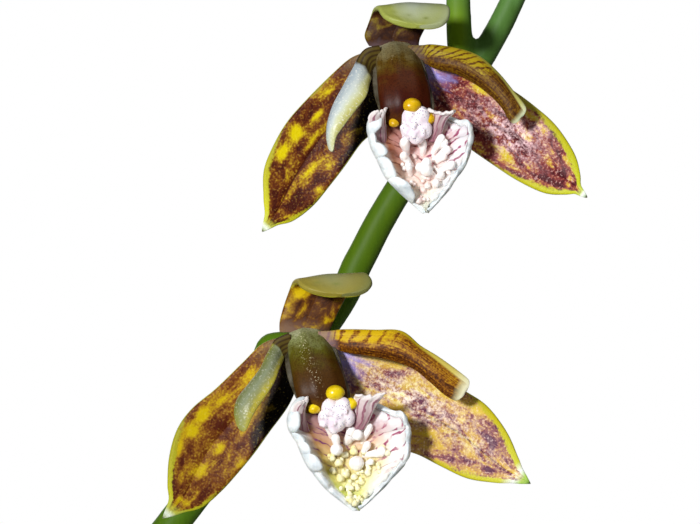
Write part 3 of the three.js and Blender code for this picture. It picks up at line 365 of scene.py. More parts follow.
# Shape, place and which flower's skins it wears
FLOWERS = {
    "upper": (UPPER_FLOWER, UPPER_PLACE, "upper"),
    "lower": (LOWER_FLOWER, LOWER_PLACE, "lower"),
    "top": (UPPER_FLOWER, TOP_PLACE, "upper"),
}
TEPALS = ("dorsal_sepal", "sepal_left", "sepal_right", "petal_left", "petal_right")
TIP_START = 0.9
PETAL_TIP_START = 0.95
# The third flower is a copy that the photo doesn't show, so that it has fewer faces
FACE_SHARES = {"upper": 1, "lower": 1, "top": 0.68}
# Rows of faces along and across at the full share
TEPAL_FACE_ROWS = (56, 22)
LIP_FACE_ROWS = (84, 56)
EAR_FACE_ROWS = (24, 16)
# Where the lip's margin begins to roll, as a share of the half width, its slope there and its turn
ROLL_START = 0.66
ROLL_TILT = math.radians(35)
ROLL_TURN = math.radians(165)
# How far the lobes of the left and right margin stand out
LOBE_FLARES = (0.24, 0.3)
EAR_THICKNESS = 0.22
WING_THICKNESS = 0.16
# The knob that joins the callus above its other knobs: y, z and radius
CALLUS_TOP = (-3.05, -4.85, 0.62)
CALLUS_VOXEL = 0.055
CALLUS_SMOOTHING = 4
# Warts on the callus: how many, the width, height and top edge of their field, and their size
WART_COUNT = 22
WART_SEED = 17
WART_FIELD = (1.9, 1.1)
WART_TOP = -4.7
WART_RADIUS = 0.11
WART_GROWTH = 0.06
# Small granules strewn in the trough besides the placed papillae
GRANULE_COUNTS = {"upper": 22, "lower": 64}
GRANULE_SEED = 5
GRANULE_LEAST = 0.13
GRANULE_GROWTH = 0.15
# Length and width of their field, as shares of the lip's
GRANULE_FIELD = (0.45, 0.46)
# Fingers shorter and thinner than this count as granules
GRANULE_LENGTH = 0.24
GRANULE_RADIUS = 0.33

# The camera's sensor in millimetres, then the floor and the lights in metres and watts
SENSOR_WIDTH = 36
FLOOR_RADIUS = 3.0
KEY_BEAM = math.radians(100)
TOP_LIGHT_PLACE = Vector((0.2, -0.5, 1.5))
BACK_LIGHT_PLACE = Vector((-0.5, 1.5, 0.7))
PLANT_MIDDLE = Vector((0, 0, 0.12))
ROOM_LIGHT_WIDTH = 0.9
ROOM_LIGHT_POWER = 3.0
# Share of the light all round that glossy skins mirror
GLOSSY_SHARE = 0.3


def linear(code):
    """Linear colour from an sRGB hex value."""
    channels = [int(code[i:i + 2], 16) / 255 for i in (1, 3, 5)]
    light = [c / 12.92 if c <= 0.04045 else ((c + 0.055) / 1.055) ** 2.4 for c in channels]
    return (*light, 1.0)


def per_metre(millimetres):
    """Scale of a texture whose features are so many millimetres wide."""
    return 1 / (millimetres * MM)


def add_node(tree, kind, inputs=None, out=0, stops=None, **settings):
    """Adds a node with its settings, its input values or links and its ramp, and gives one output.
    A hex value among them is a colour."""
    node = tree.nodes.new("ShaderNode" + kind)
    for key, value in settings.items():
        setattr(node, key, value)
    if stops:
        ramp = node.color_ramp.elements
        while len(ramp) < len(stops):
            ramp.new(1)
        for element, (position, colour) in zip(ramp, stops):
            element.position = position
            element.color = linear(colour) if isinstance(colour, str) else (colour,) * 3 + (1,)
    for key, value in (inputs or {}).items():
        if isinstance(value, bpy.types.NodeSocket):
            tree.links.new(value, node.inputs[key])
        else:
            node.inputs[key].default_value = linear(value) if isinstance(value, str) else value
    return node if out is None else node.outputs[out]


def new_material(name):
    """Makes a material, and gives it with add_node for its empty tree."""
    material = bpy.data.materials.new(name)
    material.use_nodes = True
    material.node_tree.nodes.clear()
    return material, partial(add_node, material.node_tree)


def close_skin(add, colour, height, depth, **sockets):
    """Joins a pattern to the shader: its colour, and its height as relief of so many millimetres."""
    relief = add("Bump", {"Height": height, "Distance": depth * MM, "Strength": 1.0})
    values = {
        "Base Color": colour, "Normal": relief, "Specular IOR Level": 0.3,
        "Subsurface Radius": (1.0, 0.8, 0.7),
    }
    values.update({key.replace("_", " "): value for key, value in sockets.items()})
    if "Coat_Weight" in sockets:
        values["Coat Normal"] = relief
    shader = add("BsdfPrincipled", values)
    add("OutputMaterial", {"Surface": shader}, out=None)


def skin_axes(add):
    """Along and across a piece, from its own map, and how far from its middle line, 0 to 1."""
    skin = add("UVMap", uv_map="skin")
    axes = add("SeparateXYZ", {0: skin}, out=None)
    along, across = axes.outputs[0], axes.outputs[1]
    centred = add("Math", {0: across, 1: 2.0, 2: -1.0}, operation="MULTIPLY_ADD")
    from_middle = add("Math", {0: centred}, operation="ABSOLUTE")
    return skin, along, across, from_middle


def skin_grain(add, skin, stretch, scale, detail=3.0, roughness=0.5, distortion=0.0, shift=0.0):
    """Grain that is drawn out along a piece, on its own map."""
    place = add("Mapping", {"Vector": skin, "Location": (shift, shift * 3, 0), "Scale": (*stretch, 1)})
    return add("TexNoise", {
        "Vector": place, "Scale": scale, "Detail": detail, "Roughness": roughness, "Distortion": distortion,
    })


def object_grain(add, millimetres, detail=2.0, roughness=0.5):
    """Cloudy grain of one real size, on the object's own coordinates."""
    place = add("TexCoord", out="Object")
    return add("TexNoise", {
        "Vector": place, "Scale": per_metre(millimetres), "Detail": detail, "Roughness": roughness,
    })


def object_height(add):
    """Place on the object's own coordinates, and its height alone."""
    place = add("TexCoord", out="Object")
    return place, add("SeparateXYZ", {0: place}, out=None).outputs[2]


def waves(add, value, count, operation="SINE"):
    """Rises and falls so many times while a value runs from 0 to 1."""
    turn = add("Math", {0: value, 1: 2 * math.pi * count}, operation="MULTIPLY")
    return add("Math", {0: turn}, operation=operation)


def tinted(add, colour, tint, value, limits, shares=(0.0, 1.0)):
    """Lays a tint over a colour, as a value runs between two limits by the shares given for them."""
    mask = add("MapRange", {
        "Value": value, "From Min": limits[0], "From Max": limits[1],
        "To Min": shares[0], "To Max": shares[1],
    })
    return add("Mix", {0: mask, 6: colour, 7: tint}, **AS_COLOUR)


def spot_sum(add, skin, spots, start):
    """Adds soft oval spots to a value. A spot is where it is and how far it reaches along and
    across, and how much it adds."""
    total = start
    for u, v, along, across, strength in spots:
        place = add("Mapping", {
            "Vector": skin, "Location": (-u / along, -v / across, 0), "Scale": (1 / along, 1 / across, 0),
        })
        disc = add("TexGradient", {"Vector": place}, gradient_type="QUADRATIC_SPHERE", out=1)
        total = add("Math", {0: disc, 1: strength, 2: total}, operation="MULTIPLY_ADD")
    return total


def spline(rows, share):
    """Numbers on the smooth curve through rows of numbers, at a share of its run."""
    place = min(max(share, 0.0), 1.0) * (len(rows) - 1)
    low = min(int(place), len(rows) - 2)
    t = place - low
    near = [rows[min(max(low + k, 0), len(rows) - 1)] for k in (-1, 0, 1, 2)]
    return [
        0.5 * (2 * b + (c - a) * t + (2 * a - 5 * b + 4 * c - d) * t**2 + (3 * b - a - 3 * c + d) * t**3)
        for a, b, c, d in zip(*near)
    ]


def clouds(x, y, z=0.0):
    """Smooth random height from about -1 to 1, the same on every run."""
    return noise.noise(Vector((x, y, z)))


def object_rng(seed):
    """Seeded draws from 0 to 1, by the same rule as in the part's source."""
    state = seed
    while True:
        state = (state * 1664525 + 1013904223) % 4294967296
        yield state / 4294967296


def placement(place):
    """Matrix from a flower's own millimetres to the part's metres."""
    centre, turn, size = place
    return (Matrix.Translation(Vector(centre) * MM) @ Matrix.Rotation(math.radians(turn), 4, "Z")
            @ Matrix.Scale(size * MM, 4))


def flower_point(place, point):
    """A point of a flower in the part's own millimetres."""
    return tuple(placement(place) @ Vector(point) / MM)


def rib_at(ribs, u):
    """Both ends of a sheet's rib, its belly and the way its front looks, at a share of its run."""
    row = spline(ribs, u)
    first, second = Vector(row[0:3]), Vector(row[3:6])
    ahead, behind = spline(ribs, u + TANGENT_STEP), spline(ribs, u - TANGENT_STEP)
    along = Vector(ahead[0:3]) + Vector(ahead[3:6]) - Vector(behind[0:3]) - Vector(behind[3:6])
    return first, second, row[6], along.cross(second - first).normalized()


def grow_sheet(mesh, point_at, steps, across, place=WHOLE, thin=THIN_EDGE):
    """Adds a grid that follows point_at(u, v), with its map and a weight that thins its edges."""
    skin = mesh.loops.layers.uv.get("skin") or mesh.loops.layers.uv.new("skin")
    weights = mesh.verts.layers.deform.verify()
    verts = bmesh.ops.create_grid(mesh, x_segments=steps, y_segments=across, size=0.5)["verts"]
    for face in {face for vert in verts for face in vert.link_faces}:
        for loop in face.loops:
            loop[skin].uv = (loop.vert.co.x + 0.5, loop.vert.co.y + 0.5)
    for vert in verts:
        u, v = vert.co.x + 0.5, vert.co.y + 0.5
        edge = min(1, SIDE_RISE * min(v, 1 - v), TIP_RISE * (1 - u))
        vert[weights][0] = thin + (1 - thin) * math.sqrt(max(edge, 0))
        vert.co = place @ point_at(u, v)


def grow_loft(mesh, stations, sides, steps, place=WHOLE, finish=0, side=(1, 0, 0), ripple=None, even=False):
    """Adds a closed round body along a path. A station is x, y, z, half width and half depth."""
    rows = [(*s[:4], s[4] if len(s) > 4 else s[3]) for s in stations]
    length = sum((Vector(b[:3]) - Vector(a[:3])).length for a, b in zip(rows, rows[1:]))
    skin = mesh.loops.layers.uv.get("skin") or mesh.loops.layers.uv.new("skin")
    verts = bmesh.ops.create_uvsphere(mesh, u_segments=sides, v_segments=steps, radius=1)["verts"]
    # Share of the run, turn round it, and whether it is an end point, for each corner of the ball
    chart = {}
    for vert in verts:
        height = max(-1, min(1, vert.co.z))
        share = math.acos(height) / math.pi if even else (1 - height) / 2
        chart[vert] = (share, math.atan2(vert.co.y, vert.co.x), abs(height) > POLE_HEIGHT)
    for face in {face for vert in verts for face in vert.link_faces}:
        face.material_index = finish
        turns = [chart[loop.vert][1] / (2 * math.pi) % 1 for loop in face.loops if not chart[loop.vert][2]]
        wraps = max(turns) - min(turns) > 0.5
        turns = [turn + 1 if wraps and turn < 0.5 else turn for turn in turns]
        middle = sum(turns) / len(turns)
        turns = iter(turns)
        for loop in face.loops:
            share, _, pole = chart[loop.vert]
            loop[skin].uv = (share, middle if pole else next(turns))
    for vert, (share, turn, pole) in chart.items():
        x, y, z, wide, deep = spline(rows, share)
        ahead, behind = spline(rows, share + TANGENT_STEP), spline(rows, share - TANGENT_STEP)
        tangent = (Vector(ahead[:3]) - Vector(behind[:3])).normalized()
        across = (Vector(side) - tangent * tangent.dot(Vector(side))).normalized()
        radius = max(min(wide, deep), LEAST_RADIUS)
        # Both ends are rounded over a stretch as long as the body is thick
        end = min(min(length * d / radius, 1) for d in (share, 1 - share))
        cap = 0 if pole else math.sqrt(max(1 - (1 - end) ** 2, LEAST_CAP))
        cap *= ripple(share, turn) if ripple else 1
        offset = across * (wide * math.cos(turn)) + tangent.cross(across) * (deep * math.sin(turn))
        vert.co = place @ (Vector((x, y, z)) + offset * cap)


def thicken(piece, millimetres, thin):
    """Gives a sheet its thickness, thinner at its edges, and rounds it."""
    piece.vertex_groups.new(name="edge")
    wall = piece.modifiers.new("Thickness", "SOLIDIFY")
    wall.thickness = millimetres * MM
    wall.offset = 0
    wall.material_offset = 1
    wall.material_offset_rim = 1
    wall.vertex_group = "edge"
    wall.thickness_vertex_group = thin
    soft = piece.modifiers.new("Rounding", "SUBSURF")
    soft.levels = 1
    soft.render_levels = 1


def add_piece(name, mesh, materials, node=None, sheet=0, thin=THIN_EDGE):
    """Makes an object of a finished mesh, in place, that rides on the part and may replace a node.
    A sheet has its thickness in millimetres, and how thin its edges are."""
    if not sheet:
        bmesh.ops.recalc_face_normals(mesh, faces=mesh.faces)
    data = bpy.data.meshes.new(name)
    mesh.to_mesh(data)
    mesh.free()
    data.shade_smooth()
    for material in materials:
        data.materials.append(material)
    piece = bpy.data.objects.new(name, data)
    bpy.context.scene.collection.objects.link(piece)
    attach(piece, "root")
    if node:
        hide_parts(node)
    if sheet:
        thicken(piece, sheet, thin)
    return piece


def apply_modifiers(piece):
    """Keeps the shape that the modifiers give, and drops them."""
    graph = bpy.context.evaluated_depsgraph_get()
    data = bpy.data.meshes.new_from_object(piece.evaluated_get(graph))
    piece.modifiers.clear()
    piece.data = data


def grow_together(piece, voxel, rounds):
    """Joins bodies that stand in each other into one skin, with soft joints."""
    fuse = piece.modifiers.new("Grown together", "REMESH")
    fuse.mode = "VOXEL"
    fuse.voxel_size = voxel * MM
    fuse.use_smooth_shade = True
    smooth = piece.modifiers.new("Soft joints", "SMOOTH")
    smooth.factor = 0.5
    smooth.iterations = rounds
    apply_modifiers(piece)


def spin_profile(mesh, steps):
    """Turns a row of joined points once round the upright axis."""
    bmesh.ops.spin(mesh, geom=mesh.verts[:] + mesh.edges[:], cent=(0, 0, 0), axis=UP,
                   angle=2 * math.pi, steps=steps, use_merge=True, use_duplicate=False)
    bmesh.ops.remove_doubles(mesh, verts=mesh.verts, dist=WELD)


# Materials


def tepal_face(name, look):
    """Living petal skin of plump, waxy cells: maroon-brown mottling over yellow that follows the
    length, clear yellow spots, a dark middle vein, a green-yellow border, and a pale band near the tip
    that is a painted glint. Pale specks are painted glints, and pink and cream glitter is painted glare
    where the skin would mirror the light."""
    material, add = new_material(name)
    skin, along, across, from_middle = skin_axes(add)
    # The mottles are about half a millimetre wide and a millimetre long
    patches = skin_grain(add, skin, (8, 4.6), look["patch"], 4.0, 0.62, 0.5, look["shift"])
    # Cell grain, drawn at 0.14 mm, about twice as coarse as the real cells, so that it shows
    grain = object_grain(add, 0.14, detail=1.0)
    cover = add("Math", {0: grain, 1: look["grain"], 2: patches}, operation="MULTIPLY_ADD")
    cover = spot_sum(add, skin, look["spots"], cover)
    shade = look["shade"] + 0.5 * look["grain"]
    colour = add("ValToRGB", {0: cover}, stops=[
        (shade - 0.17, look["maroon"]), (shade - 0.06, look["brown"]), (shade + 0.02, look["ochre"]),
        (shade + 0.1, look["gold"]), (shade + 0.24, look["yellow"]),
    ])
    # Colours at the foot: on the dorsal sepals their own mauve-grey; on the side sepals a dark end that is
    # painted shade beside the column and under the petal, and on the right ones a lavender patch that is
    # painted glare
    lean = add("Math", {0: across, 1: look["foot_lean"], 2: along}, operation="MULTIPLY_ADD")
    foot = add("Math", {0: patches, 1: 0.3, 2: lean}, operation="MULTIPLY_ADD")
    foot_colour = add("ValToRGB", {0: across}, stops=look["foot"])
    reach = look["foot_reach"]
    colour = tinted(add, colour, foot_colour, foot, (reach, reach + 0.12), (1.0, 0.0))
    vein_line = add("MapRange", {
        "Value": from_middle, "From Min": 0.012, "From Max": 0.05, "To Min": 1.0, "To Max": 0.0,
    })
    vein_run = add("ValToRGB", {0: along}, stops=look["vein_run"])
    vein = add("Math", {0: vein_line, 1: vein_run}, operation="MULTIPLY")
    colour = add("Mix", {0: vein, 6: colour, 7: look["vein"]}, **AS_COLOUR)
    # Painted glints: pale specks on the cell grain
    colour = tinted(add, colour, look["painted_glint"], grain, (0.6, 0.68), (0.0, look["glint"]))
    # Painted glare: where the flash would be mirrored, pink and cream glitter is painted over the same
    # pattern
    painted_glitter = object_grain(add, 0.36, detail=3.0, roughness=0.8)
    painted_glitter = add("MapRange", {"Value": painted_glitter, "From Min": 0.42, "From Max": 0.62})
    tint = tinted(add, look["painted_glitter"], look["cream"], cover, (shade, shade + 0.14))
    lit = add("MapRange", {"Value": cover, "From Min": shade - 0.17, "From Max": shade + 0.1, "To Min": 0.35})
    painted_glitter = add("Math", {0: painted_glitter, 1: lit}, operation="MULTIPLY")
    painted_glare = spot_sum(add, skin, look["painted_glare"], 0.0)
    painted_glare = add("Math", {0: painted_glitter, 1: painted_glare}, operation="MULTIPLY", use_clamp=True)
    colour = add("Mix", {0: painted_glare, 6: colour, 7: tint}, **AS_COLOUR)
    side = add("MapRange", {
        "Value": across, "From Min": 0.49, "From Max": 0.51, "To Min": look["border"][0],
        "To Max": look["border"][1],
    })
    widening = add("MapRange", {"Value": along, "From Min": 0.45, "From Max": 0.95, "To Max": 0.5})
    ragged = add("Math", {0: patches, 1: 0.35, 2: from_middle}, operation="MULTIPLY_ADD")
    ragged = add("Math", {0: grain, 1: 0.15, 2: ragged}, operation="MULTIPLY_ADD")
    ragged = add("Math", {0: ragged, 1: widening}, operation="ADD")
    border = add("Math", {0: ragged, 1: side}, operation="SUBTRACT")
    border = add("MapRange", {"Value": border, "From Min": 0.25, "From Max": 0.33})
    end = add("Math", {0: grain, 1: 0.06, 2: along}, operation="MULTIPLY_ADD")
    end = add("MapRange", {"Value": end, "From Min": 0.91, "From Max": 0.97})
    edging = add("Math", {0: border, 1: end}, operation="MAXIMUM")
    rim = add("ValToRGB", {0: along}, stops=look["rim"])
    colour = add("Mix", {0: edging, 6: colour, 7: rim}, **AS_COLOUR)
    relief = add("Math", {0: vein_line, 1: -0.6, 2: grain}, operation="MULTIPLY_ADD")
    close_skin(add, colour, relief, look["relief"], Roughness=0.45, Specular_IOR_Level=look["sheen"])
    return material


def tepal_back(name, look):
    """Outer skin of a tepal: pale grey-green and satin, yellow-green along its edges, faint veins."""
    material, add = new_material(name)
    skin, along, across, from_middle = skin_axes(add)
    cloud = object_grain(add, 0.9, detail=3.0)
    edge = add("Math", {0: cloud, 1: 0.5, 2: from_middle}, operation="MULTIPLY_ADD")
    colour = add("ValToRGB", {0: edge}, stops=[
        (0.3, look["middle"]), (0.75, look["shoulder"]), (1.0, look["edge"]),
    ])
    colour = tinted(add, colour, look["tip"], along, (look["tip_from"], 1.0))
    colour = tinted(add, colour, look["first"], across, (0.02, 0.35), (0.85, 0.0))
    # Darker olive patches where the look's spots lie
    olive_patches = spot_sum(add, skin, look["spots"], 0.0)
    colour = add("Mix", {0: olive_patches, 6: colour, 7: "#6E7630"}, **AS_COLOUR)
    ridges = waves(add, across, 7, "COSINE")
    grain = object_grain(add, 0.12, detail=1.0)
    relief = add("Math", {0: ridges, 1: 0.25, 2: grain}, operation="MULTIPLY_ADD")
    close_skin(add, colour, relief, 0.012, Roughness=0.45)
    return material


def turned_petal(name, look):
    """Outer skin of a left petal, which is turned to the front: silvery grey-blue with painted glints,
    yellow along one side or both, with the striped olive foot of its inner skin."""
    material, add = new_material(name)
    _, along, across, _ = skin_axes(add)
    cloud = object_grain(add, 0.5, detail=3.0)
    grain = object_grain(add, 0.13, detail=1.0)
    drift = add("Math", {0: cloud, 1: 0.25, 2: across}, operation="MULTIPLY_ADD")
    colour = add("ValToRGB", {0: drift}, stops=look["across"])
    colour = tinted(add, colour, look["tip"], along, (0.8, 1.0), (0.0, 0.8))
    # Painted glints: pale specks on the cell grain
    colour = tinted(add, colour, "#F0F0E4", grain, (0.58, 0.68), (0.0, look["glint"]))
    foot_colour = tinted(add, "#544618", "#3A2A10", waves(add, across, 5), (-0.2, 0.5))
    foot = add("Math", {0: cloud, 1: 0.05, 2: along}, operation="MULTIPLY_ADD")
    colour = tinted(add, colour, foot_colour, foot, (look["foot"], look["foot"] + 0.03), (1.0, 0.0))
    close_skin(add, colour, grain, 0.02, Roughness=0.4, Coat_Weight=0.15, Coat_Roughness=0.3)
    return material


def petal_face(name, look):
    """Inner skin of the right petal: brown lower band with orange grain and fine lengthwise
    veins, yellow upper band crossed by slanting dark veins, cream rim, a pale tip that is a painted
    highlight, lilac-grey foot."""
    material, add = new_material(name)
    skin, along, across, _ = skin_axes(add)
    # Fine veins 0.15 mm apart, lengthwise
    fibre = skin_grain(add, skin, (2.2, 12), 1.3, 3.0, 0.6, 1.2)
    grain = object_grain(add, 0.13)
    cloud = object_grain(add, 0.9)
    slant = add("Math", {0: across, 1: look["slant"], 2: along}, operation="MULTIPLY_ADD")
    wobble = add("Math", {0: cloud, 1: 0.07, 2: slant}, operation="MULTIPLY_ADD")
    wave = waves(add, wobble, look["stripes"])
    stripes = add("MapRange", {"Value": wave, "From Min": 0.1, "From Max": 0.9, "To Max": 0.5})
    split = add("Math", {0: cloud, 1: -0.5, 2: across}, operation="MULTIPLY_ADD")
    lower = add("MapRange", {
        "Value": split, "From Min": 0.11, "From Max": 0.31, "To Min": look["band"], "To Max": 0.0,
    })
    outer = add("MapRange", {"Value": slant, "From Min": 0.36, "From Max": 0.5, "To Max": 0.5})
    band = add("Math", {0: lower, 1: outer}, operation="MAXIMUM")
    cover = add("Math", {0: stripes, 1: band}, operation="MAXIMUM")
    cover = add("Math", {0: grain, 1: -0.85, 2: cover}, operation="MULTIPLY_ADD")
    cover = add("Math", {0: fibre, 1: 0.95, 2: cover}, operation="MULTIPLY_ADD")
    colour = add("ValToRGB", {0: cover}, stops=[
        (0.1, look["yellow"]), (0.3, look["gold"]), (0.5, look["orange"]), (0.64, look["brown"]),
        (0.85, look["maroon"]),
    ])
    colour = tinted(add, colour, look["foot"], along, (0.1, 0.2), (0.8, 0.0))
    rim_width = add("ValToRGB", {0: along}, stops=[(0.1, 0.0), (0.45, 0.06), (0.6, 0.15), (0.9, 0.2)])
    edge = add("Math", {0: across, 1: rim_width}, operation="ADD")
    border = add("MapRange", {"Value": edge, "From Min": 0.94, "From Max": 1.02})
    # Towards the tip the pale rim colour is a painted highlight
    end = add("Math", {0: cloud, 1: 0.06, 2: along}, operation="MULTIPLY_ADD")
    end = add("MapRange", {"Value": end, "From Min": 0.93, "From Max": 1.0})
    edging = add("Math", {0: border, 1: end}, operation="MAXIMUM")
    rim = add("ValToRGB", {0: along}, stops=look["rim"])
    colour = add("Mix", {0: edging, 6: colour, 7: rim}, **AS_COLOUR)
    close_skin(add, colour, fibre, 0.02, Roughness=0.45, Specular_IOR_Level=0.1)
    return material


def lip_face(name, look):
    """Inner skin of the lip: white waxy tissue with forked purple and brown veins that run out
    from the trough, which is stained pink or yellow towards the tip."""
    material, add = new_material(name)
    _, along, across, from_middle = skin_axes(add)
    cloud = object_grain(add, 0.7)
    fine = object_grain(add, 0.16)
    lean = add("Math", {0: from_middle, 1: look["fan"], 2: along}, operation="MULTIPLY_ADD")
    bent = add("Math", {0: cloud, 1: 0.08, 2: lean}, operation="MULTIPLY_ADD")
    line = add("MapRange", {"Value": waves(add, bent, 11), "From Min": 0.66, "From Max": 0.92})
    # The veins fade in and out along their run
    breaks = object_grain(add, 0.45, detail=1.0)
    broken = add("MapRange", {"Value": breaks, "From Min": 0.36, "From Max": 0.54, "To Min": 0.15})
    line = add("Math", {0: line, 1: broken}, operation="MULTIPLY")
    side = add("MapRange", {"Value": across, "From Min": 0.42, "From Max": 0.58})
    # How far the stain and the veins reach from the middle, on the left and on the right
    left_reach, right_reach = (
        add("MapRange", {
            "Value": from_middle, "From Min": full, "From Max": none, "To Min": 1.0, "To Max": 0.0,
        })
        for full, none in ((0.52, 0.66), (0.74, 0.92))
    )
    reach = add("Mix", {0: side, 2: left_reach, 3: right_reach})
    left_stain, right_stain = (
        add("ValToRGB", {0: along}, stops=look[stain]) for stain in ("stain_left", "stain_right")
    )
    stain = add("Mix", {0: side, 6: left_stain, 7: right_stain}, **AS_COLOUR)
    base = add("Mix", {0: reach, 6: "#F3F6F5", 7: stain}, **AS_COLOUR)
    trough_colour = add("ValToRGB", {0: along}, stops=look["trough"])
    trough = add("Math", {0: cloud, 1: 0.3, 2: from_middle}, operation="MULTIPLY_ADD")
    base = tinted(add, base, trough_colour, trough, (0.4, 0.7), (1.0, 0.0))
    vein = add("Mix", {0: side, 6: look["vein_left"], 7: look["vein_right"]}, **AS_COLOUR)
    drawn = add("Math", {0: line, 1: reach}, operation="MULTIPLY")
    fade = add("MapRange", {"Value": along, "From Min": 0.52, "From Max": 0.76, "To Min": 1.0, "To Max": 0.0})
    drawn = add("Math", {0: drawn, 1: fade}, operation="MULTIPLY")
    colour = add("Mix", {0: drawn, 6: base, 7: vein}, **AS_COLOUR)
    colour = tinted(add, colour, look["tip"], along, (0.82, 1.0), (0.0, 0.9))
    relief = add("Math", {0: cloud, 1: 2.0, 2: fine}, operation="MULTIPLY_ADD")
    close_skin(add, colour, relief, 0.03, Roughness=0.36, Subsurface_Weight=0.6, Subsurface_Scale=MM)
    return material


def lip_back():
    """Outer skin of the lip and its curled margin: clean white wax, clouded at random with cool grey-blue
    painted shade.
    """
    material, add = new_material("white waxy lip margin")
    cloud = object_grain(add, 0.8, detail=3.0)
    fine = object_grain(add, 0.3)
    # The grey-blue tones are painted shade, spread by a cloud
    colour = add("ValToRGB", {0: cloud}, stops=[(0.3, "#C6D0D6"), (0.46, "#E0E7EA"), (0.66, "#F4F8F8")])
    close_skin(add, colour, fine, 0.05, Roughness=0.4, Subsurface_Weight=0.15, Subsurface_Scale=0.4 * MM)
    return material


def ear_face(name, look):
    """Side lobe of the lip: thin, half clear tissue, pink-grey, with purple-brown veins that
    fork lengthwise and a pale rim."""
    material, add = new_material(name)
    _, along, across, from_middle = skin_axes(add)
    cloud = object_grain(add, 0.6)
    bent = add("Math", {0: cloud, 1: 0.3, 2: across}, operation="MULTIPLY_ADD")
    wave = waves(add, bent, 3.2)
    base = add("ValToRGB", {0: along}, stops=[
        (0.0, look["foot"]), (0.45, look["middle"]), (0.85, look["outer"]), (1.0, "#E6DCDA"),
    ])
    colour = tinted(add, base, look["vein"], wave, (0.5, 0.85), (0.0, 0.9))
    edge = add("Math", {0: from_middle, 1: along}, operation="MAXIMUM")
    colour = tinted(add, colour, "#E9E0DE", edge, (0.8, 0.93))
    close_skin(add, colour, wave, 0.02, Roughness=0.35, Subsurface_Weight=0.1, Subsurface_Scale=0.3 * MM)
    return material


def column_skin(name, look):
    """Fleshy column: olive at its foot, maroon towards the anther, with fine dark dots, pale
    streaks along its sides, painted glints and a wet shine."""
    material, add = new_material(name)
    skin, along, _, _ = skin_axes(add)
    cloud = object_grain(add, 0.8, detail=3.0)
    dots = object_grain(add, 0.1, detail=1.0)
    run = add("Math", {0: cloud, 1: 0.3, 2: along}, operation="MULTIPLY_ADD")
    colour = add("ValToRGB", {0: run}, stops=look["run"])
    # Pale streaks that run down from the foot and fade half way
    fibre = skin_grain(add, skin, (2, 16), 1.4)
    fading = add("MapRange", {
        "Value": along, "From Min": 0.12, "From Max": 0.45, "To Min": 0.5, "To Max": 0.0,
    })
    streak = add("MapRange", {"Value": fibre, "From Min": 0.5, "From Max": 0.68})
    streaks = add("Math", {0: streak, 1: fading}, operation="MULTIPLY")
    colour = add("Mix", {0: streaks, 6: colour, 7: look["streak"]}, **AS_COLOUR)
    colour = tinted(add, colour, look["dot"], dots, (0.5, 0.62), (0.0, 0.4))
    # Painted glints: pale dots, only inside the look's glint spots
    glint = add("MapRange", {"Value": dots, "From Min": 0.33, "From Max": 0.38, "To Min": 1.0, "To Max": 0.0})
    glint = add("Math", {0: glint, 1: spot_sum(add, skin, look["glints"], 0.0)}, operation="MULTIPLY")
    colour = add("Mix", {0: glint, 6: colour, 7: "#D8CCA8"}, **AS_COLOUR)
    close_skin(add, colour, dots, 0.006, Roughness=0.4, Specular_IOR_Level=0.12)
    return material


def wax(name, deeper_tone, paler_tone, millimetres=0.5, clear=0.2, gloss=0.3):
    """Plump waxy tissue: anther teeth and papillae, faintly clouded at random from a deeper to a paler tone.
    """
    material, add = new_material(name)
    cloud = object_grain(add, millimetres)
    fine = object_grain(add, 0.12, detail=1.0)
    colour = add("ValToRGB", {0: cloud}, stops=[(0.32, deeper_tone), (0.62, paler_tone)])
    close_skin(add, colour, fine, 0.015, Roughness=gloss, Subsurface_Weight=clear, Subsurface_Scale=0.5 * MM,
               Coat_Weight=0.2, Coat_Roughness=0.15)
    return material


def callus_skin():
    """Callus: pink-white warty tissue, sprinkled with violet dots towards its lower end."""
    material, add = new_material("dotted white callus")
    place = add("TexCoord", out="Object")
    cells = add("TexVoronoi", {"Vector": place, "Scale": per_metre(0.15)})
    spread = object_grain(add, 0.55, detail=1.0)
    dot = add("Math", {0: spread, 1: -0.55, 2: cells}, operation="MULTIPLY_ADD")
    base = add("ValToRGB", {0: spread}, stops=[(0.3, "#ECDCE8"), (0.6, "#FBF3F8")])
    colour = tinted(add, base, "#7C5C9C", dot, (-0.14, -0.02), (0.8, 0.0))
    close_skin(add, colour, spread, 0.06, Roughness=0.4, Subsurface_Weight=0.15, Subsurface_Scale=0.4 * MM)
    return material


